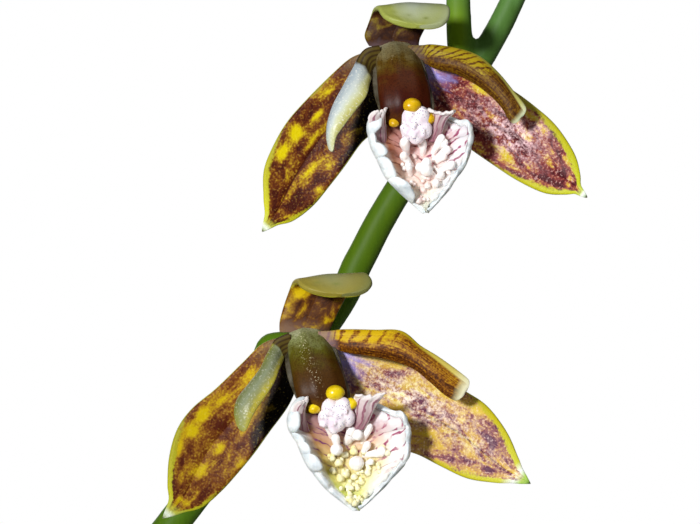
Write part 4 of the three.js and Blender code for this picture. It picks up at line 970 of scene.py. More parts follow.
def stalk_skin():
    """Flower stem: smooth waxy green skin, fresh green with darker and bluish stretches and fine
    lengthwise fibres, with a brighter yellow-green stretch of painted light on the third flower's stalk."""
    material, add = new_material("waxy green stalk")
    place, height = object_height(add)
    span = add("MapRange", {"Value": height, "From Min": 150 * MM, "From Max": 250 * MM})
    cloud = object_grain(add, 3.0, detail=3.0)
    drift = add("Math", {0: cloud, 1: 0.12, 2: span}, operation="MULTIPLY_ADD")
    colour = add("ValToRGB", {0: drift}, stops=[
        (0.0, "#64803A"), (0.4, "#5A8224"), (0.66, "#567A16"), (0.8, "#4C680C"), (0.92, "#44641C"),
        (1.0, "#5C8648"),
    ])
    # Fibres about 0.25 mm apart that follow the lean of the stem
    fibres = add("Mapping", {"Vector": place, "Rotation": (0, 0.62, 0), "Scale": (1, 1, 0.06)})
    fibre = add("TexNoise", {"Vector": fibres, "Scale": per_metre(0.25), "Detail": 2.0})
    colour = tinted(add, colour, "#2E5410", fibre, (0.35, 0.7), (0.0, 0.22))
    # Painted light: a brighter yellow-green stretch on the third flower's stalk
    wide, high = PAINTED_LIGHT_REACH
    painted_light = add("Mapping", {
        "Vector": place, "Location": (-PAINTED_LIGHT_CENTRE[0] / wide, 0, -PAINTED_LIGHT_CENTRE[1] / high),
        "Scale": (per_metre(wide), 0, per_metre(high)),
    })
    painted_light = add("TexGradient", {"Vector": painted_light}, gradient_type="QUADRATIC_SPHERE", out=1)
    painted_light = add("Math", {0: painted_light, 1: 1.6}, operation="MULTIPLY", use_clamp=True)
    colour = add("Mix", {0: painted_light, 6: colour, 7: "#6C8C10"}, **AS_COLOUR)
    close_skin(add, colour, fibre, 0.003, Roughness=0.5, Specular_IOR_Level=0.12)
    return material


def leaf_skin(name, look):
    """Leathery strap leaf: glossy, with parallel veins about a millimetre apart, a pale midrib
    line and a yellowing tip."""
    material, add = new_material(name)
    _, along, across, from_middle = skin_axes(add)
    cloud = object_grain(add, 7.0, detail=4.0)
    fine = object_grain(add, 0.8, detail=3.0)
    colour = add("ValToRGB", {0: cloud}, stops=[
        (0.3, look["deep"]), (0.55, look["green"]), (0.75, look["fresh"]),
    ])
    wave = waves(add, across, 13, "COSINE")
    colour = tinted(add, colour, look["vein"], wave, (0.4, 1.0), (0.0, 0.22))
    colour = tinted(add, colour, look["midrib"], from_middle, (0.02, 0.09), (0.75, 0.0))
    worn = add("Math", {0: cloud, 1: 0.14, 2: along}, operation="MULTIPLY_ADD")
    tip_colour = add("ValToRGB", {0: along}, stops=[(0.9, "#A79A3A"), (0.985, "#8A6A34"), (1.0, "#5A4022")])
    colour = tinted(add, colour, tip_colour, worn, (0.94, 1.06), (0.0, 0.9))
    relief = add("Math", {0: wave, 1: 0.4, 2: fine}, operation="MULTIPLY_ADD")
    close_skin(add, colour, relief, 0.06, Roughness=look["gloss"], Coat_Weight=0.15, Coat_Roughness=0.3)
    return material


def bulb_skin():
    """Pseudobulb: smooth green skin over lengthwise furrows, yellower on the shoulders, with small
    corky freckles."""
    material, add = new_material("furrowed green pseudobulb")
    skin, along, _, _ = skin_axes(add)
    cloud = object_grain(add, 6.0, detail=4.0)
    run = add("Math", {0: cloud, 1: 0.5, 2: along}, operation="MULTIPLY_ADD")
    colour = add("ValToRGB", {0: run}, stops=[
        (0.2, "#9A8F52"), (0.42, "#7D8C36"), (0.8, "#69862F"), (1.0, "#86A044"),
    ])
    fibre = skin_grain(add, skin, (2.5, 26), 1.5)
    colour = tinted(add, colour, "#55702A", fibre, (0.45, 0.7), (0.0, 0.4))
    freckle = object_grain(add, 0.7, detail=1.0)
    colour = tinted(add, colour, "#6E5528", freckle, (0.68, 0.74), (0.0, 0.6))
    close_skin(add, colour, fibre, 0.12, Roughness=0.42, Coat_Weight=0.12, Coat_Roughness=0.3)
    return material


def husk_skin():
    """Dry sheath: straw-brown papery tissue, split along its fibres, matt and slightly grey."""
    material, add = new_material("dry papery husk")
    skin = skin_axes(add)[0]
    fibre = skin_grain(add, skin, (2, 40), 1.2, 4.0, 0.65)
    colour = add("ValToRGB", {0: fibre}, stops=[(0.3, "#6B5230"), (0.5, "#A48A58"), (0.7, "#CDB88A")])
    close_skin(add, colour, fibre, 0.12, Roughness=0.8)
    return material


def clay_skin(body):
    """Terracotta: fired red-brown clay, thrown on a wheel, matt, with faint turning rings, dark
    grit, and a chalky lime bloom where water dries below the rim and near the base."""
    material, add = new_material("fired terracotta")
    _, height = object_height(add)
    cloud = object_grain(add, 22, detail=5.0)
    grit = object_grain(add, 0.9, detail=3.0)
    colour = add("ValToRGB", {0: cloud}, stops=[(0.3, "#A25A38"), (0.7, "#BF7450")])
    colour = add("Mix", {0: 0.5, 6: colour, 7: body}, **AS_COLOUR)
    colour = tinted(add, colour, "#7A4128", grit, (0.6, 0.72), (0.0, 0.45))
    band = add("Math", {0: cloud, 1: 26 * MM, 2: height}, operation="MULTIPLY_ADD")
    band = add("MapRange", {"Value": band, "From Min": 10 * MM, "From Max": 90 * MM})
    bloom = add("ValToRGB", {0: band}, stops=[
        (0.0, 0.5), (0.16, 0.1), (0.62, 0.04), (0.82, 0.42), (0.9, 0.12), (1.0, 0.3),
    ])
    patchy = add("Math", {0: bloom, 1: object_grain(add, 6, detail=5.0)}, operation="MULTIPLY")
    colour = add("Mix", {0: patchy, 6: colour, 7: "#E3D3C2"}, **AS_COLOUR)
    # Turning rings about 1.6 mm apart
    ring = waves(add, height, per_metre(1.6))
    relief = add("Math", {0: ring, 1: 0.15, 2: grit}, operation="MULTIPLY_ADD")
    close_skin(add, colour, relief, 0.18, Roughness=0.88)
    return material


def bark_skin():
    """Pine bark: brittle red-brown cork in thin layers, pale and grey on its weathered faces."""
    material, add = new_material("weathered pine bark")
    place = add("TexCoord", out="Object")
    layers = add("Mapping", {"Vector": place, "Scale": (0.35, 0.35, 2.2)})
    layer = add("TexNoise", {
        "Vector": layers, "Scale": per_metre(3.2), "Detail": 6.0, "Roughness": 0.65, "Distortion": 0.5,
    })
    patch = object_grain(add, 9, detail=3.0)
    colour = add("ValToRGB", {0: layer}, stops=[
        (0.28, "#2A1A12"), (0.45, "#5A3A26"), (0.6, "#7E5638"), (0.78, "#A27E58"),
    ])
    colour = tinted(add, colour, "#8A7C6C", patch, (0.5, 0.68), (0.0, 0.5))
    close_skin(add, colour, layer, 0.7, Roughness=0.92)
    return material


def root_skin():
    """Creeping rhizome and roots: woody olive-brown with silvery velamen and greener patches."""
    material, add = new_material("silvery root velamen")
    cloud = object_grain(add, 4, detail=4.0)
    fine = object_grain(add, 0.5, detail=3.0)
    colour = add("ValToRGB", {0: cloud}, stops=[
        (0.3, "#5C5030"), (0.48, "#8C8456"), (0.62, "#B6B296"), (0.8, "#D4D2C0"),
    ])
    close_skin(add, colour, fine, 0.15, Roughness=0.75)
    return material


def bud_skin():
    """Closed bud: olive sepals pressed edge to edge, freckled maroon, pale along the seams."""
    material, add = new_material("freckled olive bud")
    across = skin_axes(add)[2]
    cloud = object_grain(add, 0.8, detail=3.0)
    fine = object_grain(add, 0.14, detail=1.0)
    cover = add("Math", {0: fine, 1: 0.4, 2: cloud}, operation="MULTIPLY_ADD")
    colour = add("ValToRGB", {0: cover}, stops=[(0.55, "#9AA648"), (0.68, "#A89A3C"), (0.8, "#6E3E22")])
    colour = tinted(add, colour, "#C9CC86", waves(add, across, 3, "COSINE"), (-1.0, -0.9), (0.7, 0.0))
    close_skin(add, colour, fine, 0.03, Roughness=0.4, Coat_Weight=0.1, Coat_Roughness=0.3)
    return material


def floor_skin(colour):
    """Plain pale studio floor: matt board, off-white, with a barely seen cloud."""
    material, add = new_material("pale studio board")
    cloud = object_grain(add, 300)
    base = add("Mix", {0: cloud, 6: colour, 7: "#F4F3F0"}, **AS_COLOUR)
    close_skin(add, base, cloud, 0.05, Roughness=0.9)
    return material


NO_VEIN = [(0.0, 0.0), (1.0, 0.0)]
SEPAL_LEFT = {
    "shift": 0.0, "patch": 0.75, "grain": 0.3, "shade": 0.555, "maroon": "#40140A", "brown": "#64300E",
    "ochre": "#8C6014", "gold": "#B29212", "yellow": "#D4C000", "foot_lean": -0.3, "foot_reach": 0.2,
    # The foot runs to near black on its inner side: painted shade beside the column and under the petal
    "foot": [(0.0, "#786040"), (0.25, "#5E3A20"), (0.5, "#301408"), (0.75, "#0C0604")],
    "painted_glare": [], "painted_glitter": "#E8C8CC", "cream": "#E8D8A0", "vein": "#42180C",
    "vein_run": [(0.34, 0.0), (0.42, 0.95), (0.88, 0.95), (0.92, 0.0)],
    "painted_glint": "#E8D060", "glint": 0.1, "border": (0.97, 1.1), "sheen": 0.1, "relief": 0.025,
    # The pale band at 0.955 before the tip is a painted glint
    "rim": [
        (0.0, "#8C8268"), (0.12, "#7E7840"), (0.35, "#84842A"), (0.6, "#ACA624"), (0.84, "#C2C022"),
        (0.925, "#C2C850"), (0.955, "#E6F0DE"), (0.98, "#B2BE96"), (1.0, "#44443A"),
    ],
}
SEPAL_RIGHT = {
    **SEPAL_LEFT, "shift": 4.0, "patch": 1.3, "grain": 0.34, "shade": 0.565,
    "maroon": "#4A1018", "brown": "#7E3030", "ochre": "#A05C3C", "gold": "#C49A34", "yellow": "#D0BA20",
    "foot_lean": -0.02, "foot_reach": 0.18,
    # Foot: dark painted shade beside the column, then a lavender patch that is painted glare
    "foot": [(0.0, "#1C0E10"), (0.3, "#5E3C48"), (0.5, "#9C90D8"), (1.0, "#B4A8E8")],
    "vein_run": NO_VEIN, "painted_glint": "#F2D4CC", "glint": 0.3, "border": (0.99, 0.92), "sheen": 0.15,
    "vein": "#4E1624", "painted_glitter": "#F8D4DA", "cream": "#F4E0B0",
    # Painted glare: pink and cream glitter where the flash would be mirrored; the negative spots leave it out
    # towards the tip and where the lip's shadow falls
    "painted_glare": [
        (0.42, 0.5, 0.3, 0.6, 1.9), (0.5, 0.42, 0.09, 0.22, 0.6), (0.53, 0.82, 0.1, 0.2, 0.6),
        (0.66, 0.6, 0.09, 0.35, -0.5), (0.35, 0.08, 0.12, 0.34, -1.9),
    ],
    # The lavender at the rim's foot is painted glare, and the pale band before the tip a painted glint
    "rim": [
        (0.0, "#A79AE0"), (0.12, "#8C7C60"), (0.35, "#9A8C30"), (0.6, "#BAB61C"), (0.86, "#BCC224"),
        (0.925, "#BCC850"), (0.95, "#E8F2E4"), (0.98, "#A8B898"), (1.0, "#44443A"),
    ],
}
TEPAL_FACES = {
    "upper_sepal_left": {**SEPAL_LEFT, "spots": [
        (0.452, 0.19, 0.065, 0.2, 0.7), (0.35, 0.26, 0.08, 0.1, 0.45), (0.542, 0.15, 0.07, 0.15, 0.55),
        (0.473, 0.42, 0.1, 0.07, 0.3), (0.54, 0.64, 0.08, 0.12, 0.16), (0.487, 0.84, 0.055, 0.11, 0.3),
        (0.59, 0.9, 0.045, 0.09, 0.26), (0.65, 0.4, 0.07, 0.07, 0.16), (0.685, 0.59, 0.07, 0.1, 0.22),
        (0.27, 0.14, 0.06, 0.12, 0.2), (0.67, 0.08, 0.05, 0.08, 0.25), (0.16, 0.26, 0.09, 0.2, -0.15),
        (0.55, 0.78, 0.06, 0.1, -0.18), (0.74, 0.8, 0.07, 0.18, -0.2), (0.73, 0.26, 0.08, 0.14, -0.2),
        (0.6, 0.26, 0.07, 0.1, -0.15), (0.44, 0.62, 0.07, 0.14, -0.12),
    ]},
    "lower_sepal_left": {
        **SEPAL_LEFT, "shift": 2.3, "shade": 0.52, "border": (0.98, 1.14), "vein_run": NO_VEIN,
        "maroon": "#501E0C", "brown": "#744014", "ochre": "#96681A", "gold": "#B69014", "yellow": "#CDB206",
        "spots": [
            (0.44, 0.15, 0.06, 0.16, 0.5), (0.533, 0.185, 0.065, 0.13, 0.42),
            (0.352, 0.185, 0.075, 0.08, 0.35), (0.237, 0.17, 0.08, 0.16, 0.22),
            (0.515, 0.615, 0.06, 0.1, 0.32), (0.64, 0.58, 0.09, 0.08, 0.24),
            (0.51, 0.95, 0.06, 0.1, 0.22), (0.614, 0.12, 0.05, 0.08, 0.3), (0.66, 0.22, 0.08, 0.1, -0.22),
            (0.74, 0.85, 0.12, 0.18, -0.28), (0.46, 0.8, 0.07, 0.12, -0.22), (0.56, 0.74, 0.05, 0.08, -0.16),
            (0.13, 0.25, 0.07, 0.2, -0.2), (0.42, 0.42, 0.08, 0.14, -0.14), (0.83, 0.6, 0.06, 0.4, 0.28),
        ],
    },
    "top_sepal_left": {**SEPAL_LEFT, "shift": 7.7, "spots": [
        (0.45, 0.3, 0.07, 0.15, 0.4), (0.6, 0.7, 0.06, 0.14, 0.35),
    ]},
    "upper_sepal_right": {**SEPAL_RIGHT, "border": (0.95, 0.85), "spots": [
        (0.253, 0.79, 0.07, 0.17, 0.4), (0.47, 0.88, 0.06, 0.12, 0.3), (0.468, 0.2, 0.065, 0.14, 0.35),
        (0.53, 0.82, 0.06, 0.12, 0.25), (0.61, 0.84, 0.07, 0.12, 0.2), (0.637, 0.28, 0.07, 0.14, -0.25),
        (0.57, 0.9, 0.09, 0.08, -0.22), (0.7, 0.55, 0.06, 0.15, -0.22), (0.535, 0.22, 0.04, 0.08, -0.2),
        (0.4, 0.5, 0.14, 0.2, -0.06), (0.36, 0.06, 0.12, 0.14, 0.14), (0.66, 0.8, 0.05, 0.14, 0.24),
        (0.62, 0.5, 0.06, 0.1, 0.2), (0.76, 0.35, 0.06, 0.12, 0.24),
    ]},
    "lower_sepal_right": {
        **SEPAL_RIGHT, "shift": 9.0, "shade": 0.485, "foot_lean": -0.08, "foot_reach": 0.14,
        "maroon": "#562040", "brown": "#8E5250", "ochre": "#B48654", "gold": "#CAA044", "yellow": "#D0B02C",
        "glint": 0.4, "painted_glitter": "#F8E4D8",
        "cream": "#F8ECB0", "vein_run": [(0.3, 0.0), (0.42, 0.8), (0.8, 0.8), (0.88, 0.0)],
        # The pale band at 0.88 is painted glitter near the tip
        "rim": [
            (0.0, "#A79AE0"), (0.12, "#8C7C60"), (0.35, "#9A8C30"), (0.6, "#C0B418"), (0.8, "#C8C83C"),
            (0.88, "#ECF2E8"), (0.93, "#A4C44C"), (0.97, "#7CA030"), (1.0, "#44543A"),
        ],
        # Painted glare; the negative spots leave it out, chiefly where the lip's shadow falls
        "painted_glare": [
            (0.3, 0.6, 0.4, 0.6, 1.7), (0.62, 0.5, 0.3, 0.5, 0.75), (0.86, 0.45, 0.1, 0.5, 1.8),
            (0.29, 0.36, 0.08, 0.26, -2.2), (0.42, 0.2, 0.08, 0.26, -2.2), (0.44, 0.97, 0.1, 0.16, -1.2),
        ],
        "spots": [
            (0.29, 0.36, 0.08, 0.26, 0.16), (0.42, 0.24, 0.07, 0.24, 0.1), (0.71, 0.74, 0.06, 0.14, -0.16),
            (0.54, 0.87, 0.09, 0.15, 0.3), (0.38, 0.86, 0.08, 0.12, 0.22), (0.45, 0.34, 0.08, 0.14, 0.2),
            (0.64, 0.71, 0.075, 0.18, -0.34), (0.63, 0.22, 0.06, 0.12, -0.26),
            (0.71, 0.31, 0.06, 0.15, -0.26), (0.28, 0.66, 0.12, 0.09, -0.22), (0.4, 0.56, 0.1, 0.06, -0.2),
            (0.55, 0.3, 0.04, 0.1, -0.14),
        ],
    },
    "top_sepal_right": {**SEPAL_RIGHT, "shift": 13.0, "spots": [
        (0.4, 0.6, 0.07, 0.15, 0.3), (0.65, 0.3, 0.06, 0.12, -0.25),
    ]},
}
DORSAL_SEPAL = {
    **SEPAL_LEFT, "foot_lean": 0.0, "glint": 0.0, "grain": 0.15, "relief": 0.008, "vein_run": NO_VEIN,
}
DORSAL_FACES = {
    "upper": {
        **DORSAL_SEPAL, "shift": 5.0, "shade": 0.58, "foot_reach": 0.16,
        "maroon": "#2C140A", "brown": "#40220C", "ochre": "#573E10", "gold": "#6E5A14", "yellow": "#8C7A16",
        "foot": [(0.0, "#46323A"), (0.5, "#54403E"), (1.0, "#604C50")],
        "border": (1.2, 1.02), "rim": [(0.0, "#6A6658"), (0.3, "#5C5A2C"), (1.0, "#8E923C")],
        "spots": [(0.4, 0.9, 0.16, 0.16, 0.22), (0.5, 0.3, 0.25, 0.5, -0.2)],
    },
    "lower": {
        **DORSAL_SEPAL, "shift": 6.0, "shade": 0.54, "foot_reach": 0.22,
        "maroon": "#3A1A06", "brown": "#58300A", "ochre": "#80580A", "gold": "#A88408", "yellow": "#CDAE08",
        "foot": [(0.0, "#4A3018"), (0.5, "#6C5048"), (1.0, "#7C6048")],
        "border": (1.2, 0.98), "rim": [(0.0, "#A8A070"), (0.3, "#B0A030"), (1.0, "#A8A42C")],
        "spots": [(0.45, 0.8, 0.13, 0.25, 0.32), (0.3, 0.9, 0.14, 0.18, 0.25), (0.3, 0.4, 0.2, 0.3, -0.12)],
    },
}
PETAL_FACES = {
    "upper": {
        "stripes": 19.0, "slant": -0.2, "band": 0.5, "foot": "#5A4438",
        "yellow": "#A08A14", "gold": "#7C5E0C", "orange": "#64400A", "brown": "#4A2A08", "maroon": "#281204",
        "rim": [
            (0.0, "#8C8250"), (0.3, "#8C7C14"), (0.6, "#A8A040"), (0.86, "#BCB868"), (0.95, "#D4D8AC"),
            (1.0, "#CAD4B4"),
        ],
    },
    "lower": {
        "stripes": 15.0, "slant": -0.05, "band": 0.66, "foot": "#80666A",
        "yellow": "#CCA810", "gold": "#B48C14", "orange": "#946010", "brown": "#6C3C08", "maroon": "#3C1A04",
        "rim": [
            (0.0, "#A89040"), (0.3, "#B0960C"), (0.6, "#C4AC20"), (0.86, "#CCBC60"), (0.95, "#DEDAB0"),
            (1.0, "#E2DEC4"),
        ],
    },
}
TURNED_PETALS = {
    "upper": {
        "across": [
            (0.05, "#8E9AA2"), (0.4, "#AAB6BC"), (0.62, "#C6CEC8"), (0.8, "#C8CCA8"), (1.0, "#BEBA6C"),
        ],
        "tip": "#C8CCA4", "glint": 0.5, "foot": 0.33,
    },
    "lower": {
        # Its darker olive left third is painted shade
        "across": [(0.1, "#8A8420"), (0.3, "#6E7440"), (0.6, "#7E8668"), (0.85, "#8A8A50"), (1.0, "#B8AC3C")],
        "tip": "#A0A048", "glint": 0.2, "foot": 0.2,
    },
}
BACK = {"tip_from": 0.75, "spots": [], "first": "#A8AC48"}
PETAL_BACK = {**BACK, "middle": "#AEB8A8", "shoulder": "#BCC290", "edge": "#B8B03C", "tip": "#C4C46A"}
SEPAL_BACK = {**BACK, "middle": "#9CA65A", "shoulder": "#A8AC48", "edge": "#B9B83C", "tip": "#C9D290"}
DORSAL_BACKS = {
    "upper": {
        "middle": "#A4AC96", "shoulder": "#9CA478", "edge": "#969E4C", "tip": "#949C44",
        "first": "#9AA27C", "tip_from": 0.68,
        "spots": [(0.84, 0.34, 0.05, 0.09, 0.9), (0.8, 0.6, 0.06, 0.12, 0.5), (0.76, 0.8, 0.05, 0.1, 0.4)],
    },
    "lower": {
        "middle": "#84865C", "shoulder": "#8A844C", "edge": "#948638", "tip": "#8E822C",
        "first": "#6C7040", "tip_from": 0.68,
        "spots": [(0.82, 0.5, 0.06, 0.14, 0.6), (0.78, 0.75, 0.05, 0.1, 0.5)],
    },
}
LIP_FACES = {
    "upper": {
        "fan": 0.3, "vein_left": "#7A4034", "vein_right": "#9A4A6C", "tip": "#F0F0D4",
        "stain_left": [(0.0, "#86543E"), (0.42, "#AC6A48"), (0.56, "#DEA482"), (0.7, "#FFE6D6")],
        "stain_right": [(0.0, "#E0CED4"), (0.45, "#EEE8EA"), (1.0, "#F4F2EC")],
        "trough": [(0.0, "#A87078"), (0.3, "#D6A8A4"), (0.46, "#F4C8C4"), (0.7, "#FCE0D4"), (1.0, "#F6F2DA")],
    },
    "lower": {
        "fan": 0.36, "vein_left": "#7E4070", "vein_right": "#A04A6A", "tip": "#D4DC70",
        "stain_left": [
            (0.0, "#94688C"), (0.3, "#A8846C"), (0.45, "#AC7A3C"), (0.6, "#C0A848"), (0.8, "#C4CC58"),
        ],
        "stain_right": [(0.0, "#E0D2D8"), (0.5, "#F2EEEC"), (1.0, "#F6F4E0")],
        "trough": [
            (0.0, "#A87898"), (0.38, "#D4A8A0"), (0.54, "#E6CC98"), (0.75, "#F0E8A0"), (1.0, "#CCD450"),
        ],
    },
}
EAR = {"foot": "#8E5A66", "middle": "#C9B2B4", "outer": "#D9CCCB", "vein": "#8A5064"}
COLUMNS = {
    "upper": {
        "run": [
            (0.22, "#B4AC8E"), (0.38, "#7E7450"), (0.54, "#56400F"), (0.66, "#48200A"), (0.9, "#3A0E06"),
            (1.0, "#4A2404"),
        ],
        "streak": "#8C8A66", "dot": "#1E0A04", "glints": [(0.36, 0.3, 0.06, 0.03, 0.5)],
    },
    "lower": {
        "run": [
            (0.24, "#C4C6A4"), (0.38, "#868C58"), (0.52, "#545010"), (0.7, "#482E0A"), (0.9, "#42240A"),
            (1.0, "#5C3A04"),
        ],
        "streak": "#A0A078", "dot": "#2A1A04",
        "glints": [(0.35, 0.31, 0.3, 0.07, 1.4), (0.62, 0.27, 0.24, 0.06, 1.0)],
    },
}
# Upper side, then underside
LEAF_SKINS = {
    "glossy leaf upper side": {
        "deep": "#33581C", "green": "#44702A", "fresh": "#5C8A34", "vein": "#2C5018", "midrib": "#8FAE58",
        "gloss": 0.34,
    },
    "matt leaf underside": {
        "deep": "#5A7A3C", "green": "#6E8E4A", "fresh": "#84A05A", "vein": "#4C6E34", "midrib": "#A9BE78",
        "gloss": 0.5,
    },
}


# Settings


class OrchidPotSettings(bpy.types.PropertyGroup):
    """Sizes and colour of the clay pot"""
    height: bpy.props.FloatProperty(
        name="Height", description="Height of the pot", default=88 * MM, unit="LENGTH")
    base_radius: bpy.props.FloatProperty(
        name="Base radius", description="Radius of the flat base", default=38 * MM, unit="LENGTH")
    top_radius: bpy.props.FloatProperty(
        name="Wall radius", description="Radius that the wall would have at the top",
        default=50 * MM, unit="LENGTH")
    rim_radius: bpy.props.FloatProperty(
        name="Rim radius", description="Radius of the rim band", default=54 * MM, unit="LENGTH")
    rim_height: bpy.props.FloatProperty(
        name="Rim height", description="Height of the rim band", default=15 * MM, unit="LENGTH")
    wall: bpy.props.FloatProperty(
        name="Wall", description="Thickness of the wall", default=4.5 * MM, unit="LENGTH")
    floor: bpy.props.FloatProperty(
        name="Floor", description="Thickness of the floor", default=6 * MM, unit="LENGTH")
    drain_radius: bpy.props.FloatProperty(
        name="Drain radius", description="Radius of each drain hole", default=4.5 * MM, unit="LENGTH")
    drain_circle: bpy.props.FloatProperty(
        name="Drain circle", description="Radius of the circle of drain holes",
        default=19 * MM, unit="LENGTH")
    clay: bpy.props.FloatVectorProperty(
        name="Clay", description="Colour of the fired clay", size=4, subtype="COLOR",
        default=linear("#B5673F"))


class OrchidFlowerSettings(bpy.types.PropertyGroup):
    """Sizes of the flower's thin parts"""
    tepal_thickness: bpy.props.FloatProperty(
        name="Tepal thickness", description="Thickness of a sepal or petal at its middle",
        default=0.5 * MM, unit="LENGTH")
    sepal_lean: bpy.props.FloatProperty(
        name="Sepal lean", description="How far the right sepals lean forward, per length", default=0.07)
    lip_thickness: bpy.props.FloatProperty(
        name="Lip thickness", description="Thickness of the lip", default=0.4 * MM, unit="LENGTH")
    lip_roll: bpy.props.FloatProperty(
        name="Left lip roll", description="Radius of the curl on the lip's left margin",
        default=0.55 * MM, unit="LENGTH")
    lip_roll_right: bpy.props.FloatProperty(
        name="Right lip roll", description="Radius of the curl on the lip's right margin",
        default=0.2 * MM, unit="LENGTH")


class OrchidStageSettings(bpy.types.PropertyGroup):
    """Camera, lights and floor"""
    view_centre: bpy.props.FloatVectorProperty(
        name="View centre", description="Point in the middle of the picture", size=3,
        subtype="TRANSLATION", default=(18 * MM, 0, 224 * MM))
    distance: bpy.props.FloatProperty(
        name="Distance", description="Camera to the flowers", default=450 * MM, unit="LENGTH")
    frame_width: bpy.props.FloatProperty(
        name="Frame width", description="Width of the picture at the flowers",
        default=43.75 * MM, unit="LENGTH")
    key_azimuth: bpy.props.FloatProperty(
        name="Key azimuth", description="How far the main light stands to the left of the camera",
        default=math.radians(26), unit="ROTATION")
    key_rise: bpy.props.FloatProperty(
        name="Key rise", default=0.2,
        description="How far the main light stands above the flowers, as a share of its distance")
    key_distance: bpy.props.FloatProperty(
        name="Key distance", description="Main light to the flowers", default=0.7, unit="LENGTH")
    key_size: bpy.props.FloatProperty(
        name="Key size", description="Width of the main light", default=0.1, unit="LENGTH")
    key_power: bpy.props.FloatProperty(
        name="Key power", description="Power of the main light in watts", default=1.56)
    fill: bpy.props.FloatProperty(name="Fill", description="Strength of the light all round", default=0.11)
    floor_colour: bpy.props.FloatVectorProperty(
        name="Floor", description="Colour of the floor", size=4, subtype="COLOR",
        default=linear("#ECEAE6"))


# Pieces


class OrchidPot(bpy.types.Operator):
    """Turned clay pot with a rim band and drain holes"""
    bl_idname = "orchid.pot"
    bl_label = "Clay pot"

    def execute(self, context):
        size = context.scene.orchid_pot

        def inner(z):
            return size.base_radius - size.wall + (size.top_radius - size.base_radius) * z / size.height

        foot = size.height - size.rim_height
        edge, chamfer, ledge, rounding = 2 * MM, 1.5 * MM, 1.2 * MM, 0.7 * MM
        profile = [
            (0, 0), (size.base_radius - chamfer, 0), (size.base_radius, chamfer),
            (inner(foot) + size.wall, foot), (size.rim_radius - MM, foot), (size.rim_radius, foot + ledge),
            (size.rim_radius, size.height - edge), (size.rim_radius - edge, size.height),
            (inner(size.height) + chamfer, size.height), (inner(size.height - edge), size.height - edge),
            (inner(size.floor), size.floor), (0, size.floor),
        ]
        mesh = bmesh.new()
        verts = [mesh.verts.new((radius, 0, z)) for radius, z in profile]
        for pair in zip(verts, verts[1:]):
            mesh.edges.new(pair)
        bmesh.ops.bevel(mesh, geom=verts[1:-1], offset=rounding, segments=3, profile=0.5,
                        affect="VERTICES", material=-1)
        spin_profile(mesh, POT_SIDES)
        pot = add_piece("clay_pot", mesh, [clay_skin(tuple(size.clay))], "pot")
        cutters = bmesh.new()
        for quarter in range(4):
            angle = math.pi / 2 * (quarter + 0.5)
            centre = Vector((math.cos(angle), math.sin(angle), 0)) * size.drain_circle
            bmesh.ops.create_cone(
                cutters, cap_ends=True, segments=32, radius1=size.drain_radius,
                radius2=size.drain_radius, depth=3 * size.floor, matrix=Matrix.Translation(centre))
        data = bpy.data.meshes.new("drain_cutters")
        cutters.to_mesh(data)
        cutters.free()
        cutter = bpy.data.objects.new("drain_cutters", data)
        context.scene.collection.objects.link(cutter)
        cut = pot.modifiers.new("Drain holes", "BOOLEAN")
        cut.object = cutter
        cut.solver = "EXACT"
        apply_modifiers(pot)
        bpy.data.objects.remove(cutter)
        pot.data.shade_smooth()
        pot.data.set_sharp_from_angle(angle=math.radians(40))
        return {"FINISHED"}


def bark_bed(room, foot):
    """The pot's filling up to just under the chips, with a rough top. room(z) is its radius."""
    mesh = bmesh.new()
    rings = [(0, foot), (room(foot), foot), (room(BARK_TOP - 2), BARK_TOP - 2)]
    rings += [(room(BARK_TOP) * (1 - i / BARK_RINGS), BARK_TOP - 1) for i in range(1, BARK_RINGS + 1)]
    verts = [mesh.verts.new((radius * MM, 0, z * MM)) for radius, z in rings]
    for pair in zip(verts, verts[1:]):
        mesh.edges.new(pair)
    spin_profile(mesh, BARK_SIDES)
    for vert in mesh.verts:
        x, y, z = vert.co / MM
        if z > BARK_TOP - 1.5:
            vert.co.z += BARK_ROUGHNESS * MM * clouds(x / 3, y / 3)
    return mesh


def bark_chip(sizes, turned, centre, cuts, number, room):
    """A wedge of bark with worn corners that stays inside the pot. room(z) is the pot's radius."""
    chip = bmesh.new()
    bmesh.ops.create_cube(chip, size=1)
    bmesh.ops.subdivide_edges(chip, edges=chip.edges[:], cuts=cuts, use_grid_fill=True)
    for vert in chip.verts:
        corner = vert.co.copy()
        rounding = 1 - 0.5 * max(abs(corner.x) + abs(corner.y) + abs(corner.z) - 1.05, 0)
        point = Vector((corner.x * sizes[0], corner.y * sizes[1], corner.z * sizes[2])) * rounding
        if corner.x > 0:
            point.y *= CHIP_TAPER + (1 - CHIP_TAPER) * (1 - 2 * corner.x)
        wear = [clouds(point.x / 4 + number, point.y / 3, point.z / 2 + k * 9) for k in range(3)]
        point = turned @ (point + CHIP_WEAR * min(sizes) * Vector(wear)) + centre
        limit = room(point.z) / max(math.hypot(point.x, point.y), 1e-6)
        if limit < 1:
            point.x *= limit
            point.y *= limit
        point.z = min(point.z, BARK_TOP + CHIP_CEILING)
        vert.co = point * MM
    return chip


